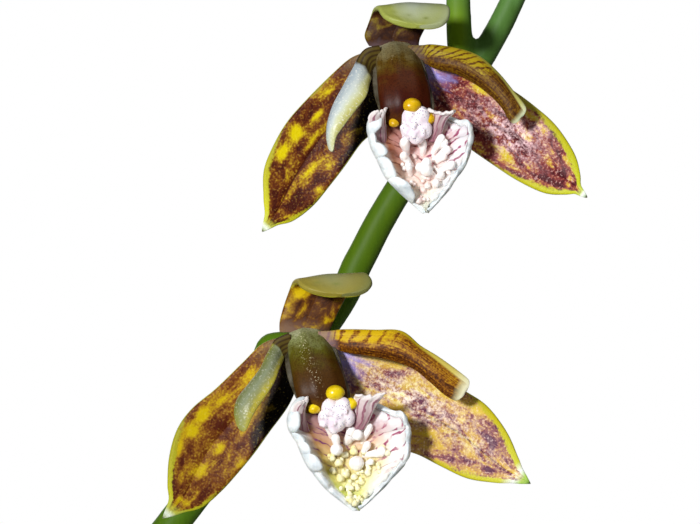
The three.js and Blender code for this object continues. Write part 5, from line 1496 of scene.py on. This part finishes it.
class OrchidBark(bpy.types.Operator):
    """Pine bark chips and crumbs that fill the pot"""
    bl_idname = "orchid.bark"
    bl_label = "Bark"

    def execute(self, context):
        size = context.scene.orchid_pot
        slope = (size.top_radius - size.base_radius) / size.height

        def room(z):
            return (size.base_radius - size.wall + slope * z * MM) / MM - BARK_GAP

        mesh = bark_bed(room, size.floor / MM + BARK_GAP)
        draws = object_rng(CHIP_SEED)
        # Large chips, then crumbs: count, share of size, share of tilt, reach, rise, first turn, cuts
        spread = room(BARK_TOP) - 4
        heap = (
            (CHIP_COUNT, 1, 1, spread, 0, 0, 3), (CRUMB_COUNT, CRUMB_SHARE, 2, spread + 2, CRUMB_RISE, 1, 1),
        )
        number = 0
        for count, share, tilting, reach, rise, start, cuts in heap:
            for i in range(count):
                sizes = [length * (0.75 + 0.5 * next(draws)) * share for length in CHIP_SIZE]
                tilts = [CHIP_TILT * (next(draws) - 0.5) * tilting for _ in range(2)]
                turn = 2 * math.pi * next(draws)
                radius = reach * math.sqrt((i + 0.5) / count)
                angle = i * GOLDEN_TURN + start
                height = BARK_TOP + CHIP_RISE * next(draws) + rise
                turned = (Matrix.Rotation(tilts[0], 3, "X") @ Matrix.Rotation(tilts[1], 3, "Y")
                          @ Matrix.Rotation(turn, 3, "Z"))
                centre = Vector((radius * math.cos(angle), radius * math.sin(angle), height))
                chip = bark_chip(sizes, turned, centre, cuts, number, room)
                data = bpy.data.meshes.new("chip")
                chip.to_mesh(data)
                chip.free()
                mesh.from_mesh(data)
                bpy.data.meshes.remove(data)
                number += 1
        piece = add_piece("bark_chips", mesh, [bark_skin()], "bark")
        piece.data.set_sharp_from_angle(angle=math.radians(32))
        return {"FINISHED"}


class OrchidRhizome(bpy.types.Operator):
    """Creeping rhizome with its joints and roots"""
    bl_idname = "orchid.rhizome"
    bl_label = "Rhizome and roots"

    def execute(self, context):
        mesh = bmesh.new()
        first, last = BULBS[0], BULBS[-1]
        path = [(first[0] - 2, first[1] - 5, RHIZOME_HEIGHT - 2, RHIZOME_RADIUS * 0.8)]
        path += [(bulb[0], bulb[1], RHIZOME_HEIGHT, RHIZOME_RADIUS) for bulb in BULBS]
        path += [(last[0] + 3, last[1] - 6, RHIZOME_HEIGHT + 1, RHIZOME_RADIUS * 0.85)]

        def joints(share, turn):
            return 1 + 0.07 * abs(math.sin(share * 21 * math.pi)) ** 6 + 0.04 * clouds(share * 60, turn)

        def knobbly(share, turn):
            return 1 + 0.1 * clouds(share * 9, turn)

        grow_loft(mesh, path, 24, 140, side=UP, ripple=joints, even=True)
        for x, y, direction, reach in ROOTS:
            dx, dy = math.cos(math.radians(direction)), math.sin(math.radians(direction))
            root = [
                (x + dx * reach * share, y + dy * reach * share, RHIZOME_HEIGHT + drop, ROOT_RADIUS)
                for share, drop in ROOT_DROPS
            ]
            grow_loft(mesh, root, 12, 30, side=(-dy, dx, 0), ripple=knobbly, even=True)
        add_piece("creeping_rhizome", mesh, [root_skin()], "rhizome")
        return {"FINISHED"}


def bulb_rows(x, y, apex, width, lean_x, lean_y):
    """Rows of even height up a bulb, so that the curve through them is even too."""
    height = apex + BULB_COLLAR - BULB_FOOT
    neck = 2 * BULB_NECK / width
    breadths = [*BULB_PROFILE, (BULB_NECK_START, neck), (1, neck)]
    rows = []
    for i in range(BULB_ROWS + 1):
        share = i / BULB_ROWS
        low = max(k for k, (start, _) in enumerate(breadths[:-1]) if start <= share)
        (start, foot), (end, top) = breadths[low], breadths[low + 1]
        ease = (share - start) / (end - start)
        breadth = foot + (top - foot) * (0.5 * ease + 0.5 * ease * ease * (3 - 2 * ease))
        half = width / 2 * breadth
        lean = share ** 1.5
        rows.append((
            x + lean_x * lean, y + lean_y * lean, BULB_FOOT + height * share, half, half * BULB_FLATNESS,
        ))
    return rows


class OrchidBulbs(bpy.types.Operator):
    """Furrowed pseudobulbs with dry husks round their feet"""
    bl_idname = "orchid.pseudobulbs"
    bl_label = "Pseudobulbs"

    def execute(self, context):
        skin, husk = bulb_skin(), husk_skin()
        for number, bulb in enumerate(BULBS):
            rows = bulb_rows(*bulb)

            def furrows(share, turn, number=number):
                waist = math.sin(math.pi * share) ** 0.6
                groove = abs(math.sin(3.5 * turn + 0.5 * clouds(share * 3, number)))
                return 1 - 0.1 * waist * (1 - groove) ** 2 + 0.02 * clouds(2 * turn, share * 5, number)

            mesh = bmesh.new()
            grow_loft(mesh, rows, 56, 60, ripple=furrows, even=True)
            node = f"pseudobulb_{number + 1}"
            add_piece(f"green_{node}", mesh, [skin], node)
            mesh = bmesh.new()
            for layer, (reach, start) in enumerate(HUSKS):
                def wrap(u, v, rows=rows, reach=reach, start=start, number=number, layer=layer):
                    torn = reach * (1 - 0.35 * abs(math.sin(6 * v + number)) - 0.15 * clouds(14 * v, number))
                    x, y, z, wide, deep = spline(rows, 0.01 + u * torn)
                    turn = start + v * HUSK_WRAP
                    stand = 0.25 + 0.2 * layer + 0.9 * u * u * (1 + clouds(5 * v, number, layer))
                    out = Vector(((wide + stand) * math.cos(turn), (deep + stand) * math.sin(turn), 0))
                    return Vector((x, y, z)) + out
                grow_sheet(mesh, wrap, 8, 28, thin=0.5)
            add_piece(f"dry_husk_{number + 1}", mesh, [husk] * 2, sheet=HUSK_THICKNESS,
                      thin=0.5)
        return {"FINISHED"}


class OrchidLeaves(bpy.types.Operator):
    """Arching strap leaves"""
    bl_idname = "orchid.leaves"
    bl_label = "Leaves"

    def execute(self, context):
        skins = [leaf_skin(name, look) for name, look in LEAF_SKINS.items()]
        for number, (bulb, azimuth, length, lean, bend, width) in enumerate(LEAVES):
            x, y, apex, _, lean_x, lean_y = BULBS[bulb]
            angle = math.radians(azimuth)
            out = Vector((math.cos(angle), math.sin(angle), 0))
            side = Vector((-math.sin(angle), math.cos(angle), 0))
            spine = [Vector((x + lean_x, y + lean_y, apex + LEAF_FOOT_GAP)) + out * LEAF_FOOT_OFFSET]
            for i in range(LEAF_SLICES):
                share = (i + 0.5) / LEAF_SLICES
                tilt = math.radians(lean * min(1, share / LEAF_LEAN_SHARE) + bend * share ** LEAF_BEND_POWER)
                spine.append(spine[-1] + (out * math.sin(tilt) + UP * math.cos(tilt)) * length / LEAF_SLICES)
            ribs = []
            for share, breadth in LEAF_PROFILE:
                centre = spine[round(share * LEAF_SLICES)]
                half = width / 2 * breadth
                fold = -LEAF_FOLD * half * (1 - share / 2)
                ribs.append((*(centre - side * half), *(centre + side * half), fold))

            def strap(u, v, ribs=ribs, number=number):
                first, second, belly, front = rib_at(ribs, u)
                edge = abs(2 * v - 1)
                ripple = 0.5 * edge ** 2 * clouds(6 * u, 2 * v, number) * min(1, 4 * u)
                return first.lerp(second, v) + front * (belly * (1 - edge ** 1.3) + ripple)

            mesh = bmesh.new()
            grow_sheet(mesh, strap, 56, 12)
            node = f"leaf_{number + 1}"
            add_piece(f"strap_{node}", mesh, skins, node, sheet=LEAF_THICKNESS)
        return {"FINISHED"}


class OrchidStem(bpy.types.Operator):
    """Flower stem with its pedicels, grown as one, and its dry sheaths"""
    bl_idname = "orchid.flower_stem"
    bl_label = "Flower stem"

    def execute(self, context):
        mesh = bmesh.new()
        path = [(x, STEM_Y, z, radius) for x, z, radius in STEM]
        grow_loft(mesh, path, 24, 150, side=(0, 1, 0), even=True)
        paths = ((UPPER_PEDICEL, UPPER_PLACE), (LOWER_PEDICEL, LOWER_PLACE), (TOP_PEDICEL, TOP_PLACE))
        for points, place in paths:
            ends = [flower_point(place, RECEPTACLE_BACK), flower_point(place, RECEPTACLE)]
            radii = [PEDICEL_RADIUS] * len(points) + [OVARY_RADIUS, RECEPTACLE_RADIUS * place[2]]
            if place is TOP_PLACE:
                radii[:3] = TOP_STALK_RADII
            stations = [(*point, radius) for point, radius in zip([*points, *ends], radii)]
            grow_loft(mesh, stations, 20, 60, side=(0.9, -0.1, 0.42), even=True)
        path = [(*point, BUD_PEDICEL_RADIUS) for point in BUD_PEDICEL]
        grow_loft(mesh, path, 16, 30, side=(0, 1, 0), even=True)
        stem = add_piece("green_flower_stem", mesh, [stalk_skin()], "flower_stem")
        grow_together(stem, STEM_VOXEL, STEM_SMOOTHING)
        mesh = bmesh.new()
        for z, length in SHEATHS:
            def wrap(u, v, z=z, length=length):
                height = z + u * length * (1 - 0.25 * (0.5 - 0.5 * math.cos(2 * math.pi * v)))
                above = next(k for k, station in enumerate(STEM) if station[1] > height)
                (x0, z0, _), (x1, z1, _) = STEM[above - 1], STEM[above]
                x = x0 + (x1 - x0) * (height - z0) / (z1 - z0)
                swelling = 0.45 * math.sin(math.pi * min(u, 0.85)) + 0.06 * clouds(9 * v, z)
                turn = 0.4 + v * SHEATH_WRAP
                radius = SHEATH_RADIUS + swelling
                return Vector((x + radius * math.cos(turn), STEM_Y + radius * math.sin(turn), height))
            grow_sheet(mesh, wrap, 16, 32, thin=0.5)
        add_piece("stem_sheaths", mesh, [husk_skin()] * 2, sheet=SHEATH_THICKNESS, thin=0.5)
        return {"FINISHED"}


def face_rows(name, rows):
    """Rows of faces along and across, fewer on the third flower."""
    return [round(count * FACE_SHARES[name]) for count in rows]


class OrchidTepals(bpy.types.Operator):
    """Sepals and petals of the three flowers"""
    bl_idname = "orchid.tepals"
    bl_label = "Sepals and petals"

    def execute(self, context):
        size = context.scene.orchid_flower
        petal_back = tepal_back("pale petal outer side", PETAL_BACK)
        sepal_back = tepal_back("green sepal outer side", SEPAL_BACK)
        skins = {}
        for kind in ("upper", "lower"):
            skins[kind] = {
                "dorsal_sepal": [
                    tepal_face(f"brown {kind} dorsal sepal", DORSAL_FACES[kind]),
                    tepal_back(f"{kind} dorsal sepal outer side", DORSAL_BACKS[kind]),
                ],
                "petal_right": [petal_face(f"striped {kind} petal", PETAL_FACES[kind]), petal_back],
                # The left petals are turned over, so that their pale outer skin looks forward
                "petal_left": [turned_petal(f"turned {kind} petal", TURNED_PETALS[kind])] * 2,
            }
        for name, (shape, place, kind) in FLOWERS.items():
            for part in TEPALS:
                node = f"{name}_{part}"
                materials = skins[kind].get(part)
                if not materials:
                    materials = [tepal_face(node.replace("_", " "), TEPAL_FACES[node]), sepal_back]
                ribs = shape[part]
                seed = len(part) * 7 + len(name)
                start = PETAL_TIP_START if "petal" in part else TIP_START
                lean = size.sepal_lean if part == "sepal_right" else 0

                def blade(u, v, ribs=ribs, seed=seed, start=start, lean=lean, sepal="sepal_" in part):
                    first, second, belly, front = rib_at(ribs, u)
                    # The last stretch narrows in a round, so that no tip ends square
                    narrow = math.sqrt(max(1 - max(u - start, 0) ** 2 / (1 - start) ** 2, 0.002))
                    v = 0.5 + (v - 0.5) * narrow
                    edge = abs(2 * v - 1)
                    furrow = -0.1 * math.exp(-((v - 0.5) / 0.045) ** 2) * math.sin(math.pi * u) * sepal
                    curl = -0.1 * edge ** 6 * min(1, (second - first).length / 2)
                    swell = 0.14 * clouds(3.2 * u, 2.4 * v, seed) * math.sin(math.pi * min(u * 1.1, 1))
                    point = first.lerp(second, v) + front * (belly * 4 * v * (1 - v) + furrow + curl + swell)
                    point.y -= lean * max(point.x, 0)
                    return point

                mesh = bmesh.new()
                grow_sheet(mesh, blade, *face_rows(name, TEPAL_FACE_ROWS), placement(place))
                add_piece(f"{node}_blade", mesh, materials, node, sheet=size.tepal_thickness / MM)
        return {"FINISHED"}


def lip_surface(ribs, frills, rolls, seed):
    """Gives the lip's sheet as a function: a trough whose margins curl over in lobes."""
    def surface(u, v):
        first, second, belly, front = rib_at(ribs, u)
        middle, half = (first + second) / 2, (second - first) / 2
        right = v > 0.5
        reach, out = half.length, half.normalized() * (1 if right else -1)
        edge = abs(2 * v - 1)
        lobe = 0
        for centre, length, curl in frills[right]:
            lobe = max(lobe, curl * math.sqrt(max(1 - ((u - centre) / length) ** 4, 0)))
        fade = max(min(1, 5 * u, 4 * (1 - u)), 0.03)
        roll = min(rolls[right] * (0.45 + 0.75 * lobe) * fade, 0.42 * reach)
        flat = min(edge / ROLL_START, 1)
        rest = max(edge - ROLL_START, 0) / (1 - ROLL_START)
        turn = ROLL_TILT + rest * ROLL_TURN * (0.4 + 0.6 * lobe)
        flare = LOBE_FLARES[right] * (lobe - 0.6) * rest * fade
        inner = reach - roll * (1 - math.sin(ROLL_TILT)) + flare
        outward = inner * flat + roll * (math.sin(turn) - math.sin(ROLL_TILT))
        forward = belly * (1 - flat ** 2) + roll * (math.cos(ROLL_TILT) - math.cos(turn))
        crinkle = 0.1 * edge * clouds(9 * u, 5 * v, seed) + 0.07 * clouds(20 * u, 12 * v, seed)
        fold = max(edge - 0.3, 0) / 0.7
        ruffle = 0.3 * fold * math.sin(15 * math.pi * u + 3 * edge + seed) if right else 0
        return middle + out * outward + front * (forward + (crinkle + ruffle) * fade)
    return surface


def ear_surface(ribs):
    """Gives a side lobe's sheet as a function: its free end is torn into a few teeth and curls."""
    def surface(u, v):
        torn = 1 - 0.16 * (0.5 + 0.5 * math.cos(22 * v + len(ribs))) * (1 - abs(2 * v - 1))
        first, second, belly, front = rib_at(ribs, u * torn)
        curl = 0.25 * u ** 6 + 0.2 * u * clouds(3 * u, 4 * v, len(ribs))
        return first.lerp(second, v) + front * (belly * 4 * v * (1 - v) - curl)
    return surface


def callus_body(knobs, matrix):
    """Knobs that grow together, with small warts on the large ones that the photo shows."""
    middle_x = sum(knob[0] for knob in knobs) / len(knobs)
    knobs = [*knobs, (middle_x, *CALLUS_TOP)]
    large = knobs[:6]
    warts = object_rng(WART_SEED)
    for _ in range(WART_COUNT):
        x = middle_x + WART_FIELD[0] * (next(warts) - 0.5)
        z = WART_TOP - WART_FIELD[1] * next(warts)
        near = min(large, key=lambda knob: math.hypot(knob[0] - x, knob[2] - z))
        off = math.hypot(near[0] - x, near[2] - z)
        if off < near[3]:
            front = near[1] - math.sqrt(near[3] ** 2 - off ** 2)
            knobs.append((x, front + 0.03, z, WART_RADIUS + WART_GROWTH * next(warts)))
    mesh = bmesh.new()
    for x, y, z, radius in knobs:
        stations = [
            (x, y + 0.3, z - 1.1 * radius, 0.7 * radius),
            (x, y + 0.25 * radius, z - 0.45 * radius, radius * 0.95),
            (x, y, z + 0.45 * radius, radius * 0.95), (x, y + 0.2, z + 0.95 * radius, 0.6 * radius),
        ]
        grow_loft(mesh, stations, 24, 20, matrix,
                  ripple=lambda s, t, r=radius: 1 + 0.07 * clouds(5 * s, 2 * t, r * 9))
    return mesh


def papillae_body(placed, strewn, surface, matrix):
    """Fingers that stand on the lip's surface where the photo shows them, and small granules
    strewn between them. Short, thin fingers count as granules too, which is their finish."""
    ground = [surface(i / 60, j / 40) for i in range(8, 60) for j in range(6, 35)]
    draws = object_rng(GRANULE_SEED)
    rows = []
    for foot_x, foot_z, tip_x, tip_z, radius in placed:
        short = math.hypot(tip_x - foot_x, tip_z - foot_z) < GRANULE_LENGTH and radius < GRANULE_RADIUS
        rows.append((foot_x, foot_z, tip_x, tip_z, radius, int(short)))
    for _ in range(strewn):
        u = 0.5 + GRANULE_FIELD[0] * next(draws)
        v = 0.5 + GRANULE_FIELD[1] * (next(draws) - 0.5)
        point = surface(u, v)
        radius = GRANULE_LEAST + GRANULE_GROWTH * next(draws) ** 2
        rows.append((point.x, point.z, point.x, point.z + 0.1, radius, 1))
    mesh = bmesh.new()
    for foot_x, foot_z, tip_x, tip_z, radius, grain in rows:
        foot = min(ground, key=lambda point: (point.x - foot_x) ** 2 + (point.z - foot_z) ** 2)
        stand = (0.1 if grain else 0.6) + 0.3 * next(draws)
        tip = Vector((tip_x, foot.y - stand, tip_z))
        bow = foot.lerp(tip, 0.5) + Vector((0, -0.12, 0.02))
        knob = radius * (1 + 0.12 * next(draws))
        end = tip + Vector((0, -knob, 0.15))
        stations = [(*foot, radius * 0.8), (*bow, radius * 0.78), (*tip, knob), (*end, knob * 0.7)]
        sides = 8 if grain else 16
        grow_loft(mesh, stations, sides, sides, matrix, finish=grain,
                  ripple=lambda s, t, r=radius: 1 + 0.25 * clouds(3 * s, math.cos(t), 40 * r))
    return mesh


class OrchidLips(bpy.types.Operator):
    """Lips with their side lobes, callus and papillae"""
    bl_idname = "orchid.lips"
    bl_label = "Lips"

    def execute(self, context):
        size = context.scene.orchid_flower
        rolls = (size.lip_roll / MM, size.lip_roll_right / MM)
        back = lip_back()
        ear = ear_face("veined side lobe", EAR)
        callus = callus_skin()
        papilla = wax("ivory papillae", "#FFF2EA", "#FFFFFF", clear=0.08, gloss=0.4)
        granules = {
            "upper": wax("rosy trough granules", "#ECC8C2", "#FFF6F0", clear=0.05, gloss=0.4),
            "lower": wax("yellow trough granules", "#F6E8A0", "#FFFCDC", clear=0.05, gloss=0.4),
        }
        faces = {kind: lip_face(f"{kind} lip inner face", look) for kind, look in LIP_FACES.items()}
        for name, (shape, place, kind) in FLOWERS.items():
            surface = lip_surface(shape["lip"], shape["frills"], rolls, len(name))
            matrix = placement(place)
            node = f"{name}_lip"
            mesh = bmesh.new()
            grow_sheet(mesh, surface, *face_rows(name, LIP_FACE_ROWS), matrix, thin=0.6)
            thickness = size.lip_thickness / MM
            add_piece(f"{node}_blade", mesh, [faces[kind], back], node, sheet=thickness, thin=0.6)
            mesh = bmesh.new()
            for part in ("ear_left", "ear_right"):
                grow_sheet(mesh, ear_surface(shape[part]), *face_rows(name, EAR_FACE_ROWS), matrix, thin=0.5)
            add_piece(f"{node}_side_lobes", mesh, [ear] * 2, sheet=EAR_THICKNESS, thin=0.5)
            lump = add_piece(f"{node}_callus", callus_body(shape["callus"], matrix), [callus])
            grow_together(lump, CALLUS_VOXEL, CALLUS_SMOOTHING)
            mesh = papillae_body(shape["papillae"], GRANULE_COUNTS[kind], surface, matrix)
            add_piece(f"{node}_papillae", mesh, [papilla, granules[kind]])
        return {"FINISHED"}


class OrchidColumns(bpy.types.Operator):
    """Columns with their yellow teeth"""
    bl_idname = "orchid.columns"
    bl_label = "Columns"

    def execute(self, context):
        skins = {kind: column_skin(f"{kind} fleshy column", look) for kind, look in COLUMNS.items()}
        membrane = wax("grey clear column margin", "#2E2818", "#565042", clear=0.1)
        teeth = {
            "upper": wax("amber anther teeth", "#B88A00", "#E2B80C", millimetres=0.8, clear=0.05),
            "lower": wax("yellow anther teeth", "#C8A000", "#E8CC10", millimetres=0.8, clear=0.05),
        }

        def hood(share, turn):
            keel = 0.05 * math.cos(2 * turn) + 0.03 * math.cos(7 * turn)
            return 1 + keel + 0.12 * share * abs(math.cos(turn)) ** 8

        for name, (shape, place, kind) in FLOWERS.items():
            matrix = placement(place)
            node = f"{name}_column"
            mesh = bmesh.new()
            grow_loft(mesh, shape["column"], 48, 50, matrix, ripple=hood)
            for tooth in shape["teeth"]:
                foot, tip, radius = Vector(tooth[0:3]), Vector(tooth[3:6]), tooth[6]
                end = tip + (tip - foot).normalized() * radius * 0.6
                stations = [
                    (*foot, radius, radius * 0.7), (*foot.lerp(tip, 0.6), radius * 1.12, radius * 0.85),
                    (*tip, radius * 1.12, radius * 0.85), (*end, radius * 0.8, radius * 0.6),
                ]
                grow_loft(mesh, stations, 24, 20, matrix, finish=1)
            add_piece(f"{node}_body", mesh, [skins[kind], teeth[kind]], node)
            mesh = bmesh.new()
            for ribs in shape["wings"]:
                def margin(u, v, ribs=ribs):
                    first, second, _, front = rib_at(ribs, u)
                    return first.lerp(second, v) + front * (0.06 * v * math.sin(9 * u))
                grow_sheet(mesh, margin, 24, 8, matrix, thin=0.5)
            add_piece(f"{node}_wings", mesh, [membrane] * 2, sheet=WING_THICKNESS, thin=0.5)
        return {"FINISHED"}


class OrchidBuds(bpy.types.Operator):
    """Closed buds at the tip of the stem"""
    bl_idname = "orchid.buds"
    bl_label = "Buds"

    def execute(self, context):
        skin = bud_skin()

        def seams(share, turn):
            return 1 - 0.07 * (0.5 - 0.5 * math.cos(3 * turn)) ** 8

        for name, (foot, apex, radius) in BUDS.items():
            rows = [
                (*Vector(foot).lerp(Vector(apex), share), radius * breadth) for share, breadth in BUD_PROFILE
            ]
            mesh = bmesh.new()
            grow_loft(mesh, rows, 48, 40, side=(0, 1, 0), ripple=seams)
            add_piece(f"{name}_sepals", mesh, [skin], name)
        return {"FINISHED"}


class OrchidStage(bpy.types.Operator):
    """Pale floor, soft light and the camera at the photograph's angle"""
    bl_idname = "orchid.stage"
    bl_label = "Stage"

    def execute(self, context):
        scene, stage = context.scene, context.scene.orchid_stage
        centre = Vector(stage.view_centre)
        lens = bpy.data.cameras.new("camera")
        lens.sensor_width = SENSOR_WIDTH
        lens.lens = SENSOR_WIDTH * stage.distance / stage.frame_width
        lens.clip_start = 0.01
        camera = bpy.data.objects.new("camera", lens)
        camera.location = centre + Vector((0, -stage.distance, 0))
        camera.rotation_euler = (math.pi / 2, 0, 0)
        scene.collection.objects.link(camera)
        scene.camera = camera
        mesh = bmesh.new()
        bmesh.ops.create_circle(mesh, cap_ends=True, segments=96, radius=FLOOR_RADIUS)
        data = bpy.data.meshes.new("studio_floor")
        mesh.to_mesh(data)
        mesh.free()
        data.materials.append(floor_skin(tuple(stage.floor_colour)))
        floor = bpy.data.objects.new("studio_floor", data)
        scene.collection.objects.link(floor)
        away = Vector((-math.sin(stage.key_azimuth), -math.cos(stage.key_azimuth), stage.key_rise))
        key_place = centre + away.normalized() * stage.key_distance
        lights = (
            ("key_light", key_place, centre, stage.key_size, stage.key_power, KEY_BEAM),
            ("top_light", TOP_LIGHT_PLACE, PLANT_MIDDLE, ROOM_LIGHT_WIDTH, ROOM_LIGHT_POWER, math.pi),
            ("back_light", BACK_LIGHT_PLACE, PLANT_MIDDLE, ROOM_LIGHT_WIDTH, ROOM_LIGHT_POWER, math.pi),
        )
        for name, place, target, width, power, beam in lights:
            lamp = bpy.data.lights.new(name, "AREA")
            lamp.shape = "DISK"
            lamp.size = width
            lamp.energy = power
            lamp.spread = beam
            light = bpy.data.objects.new(name, lamp)
            light.location = place
            light.rotation_euler = (target - place).to_track_quat("-Z", "Y").to_euler()
            scene.collection.objects.link(light)
        world = bpy.data.worlds.new("studio white")
        world.use_nodes = True
        world.node_tree.nodes.clear()
        add = partial(add_node, world.node_tree)
        seen = add("LightPath", out="Is Camera Ray")
        shine = add("LightPath", out="Is Glossy Ray")
        # Glossy skins mirror a darker room, as behind a polarising filter, so that colours stay deep
        around = add("MapRange", {"Value": shine, "To Min": stage.fill, "To Max": GLOSSY_SHARE * stage.fill})
        strength = add("MapRange", {"Value": seen, "To Min": around, "To Max": 1.0})
        glow = add("Background", {"Color": (1, 1, 1, 1), "Strength": strength})
        add("OutputWorld", {"Surface": glow}, out=None)
        scene.world = world
        scene.view_settings.view_transform = "Standard"
        return {"FINISHED"}


STEPS = (
    OrchidPot, OrchidBark, OrchidRhizome, OrchidBulbs, OrchidLeaves, OrchidStem, OrchidTepals, OrchidLips,
    OrchidColumns, OrchidBuds, OrchidStage,
)


class OrchidPanel(bpy.types.Panel):
    """Sizes, colours and steps of the potted orchid"""
    bl_idname = "VIEW3D_PT_orchid"
    bl_label = "Potted orchid"
    bl_space_type = "VIEW_3D"
    bl_region_type = "UI"
    bl_category = "Orchid"

    def draw(self, context):
        for key in SETTINGS:
            box = self.layout.box()
            settings = getattr(context.scene, key)
            for entry in settings.bl_rna.properties.keys():
                if entry not in {"rna_type", "name"}:
                    box.prop(settings, entry)
        for step in STEPS:
            self.layout.operator(step.bl_idname)


SETTINGS = {
    "orchid_pot": OrchidPotSettings,
    "orchid_flower": OrchidFlowerSettings,
    "orchid_stage": OrchidStageSettings,
}


def register():
    for group in (*SETTINGS.values(), *STEPS, OrchidPanel):
        bpy.utils.register_class(group)
    for key, group in SETTINGS.items():
        setattr(bpy.types.Scene, key, bpy.props.PointerProperty(type=group))


def unregister():
    for key in SETTINGS:
        delattr(bpy.types.Scene, key)
    for group in reversed((*SETTINGS.values(), *STEPS, OrchidPanel)):
        bpy.utils.unregister_class(group)


def main():
    register()
    for step in STEPS:
        group, name = step.bl_idname.split(".")
        getattr(getattr(bpy.ops, group), name)()


if __name__ == "__main__":
    main()
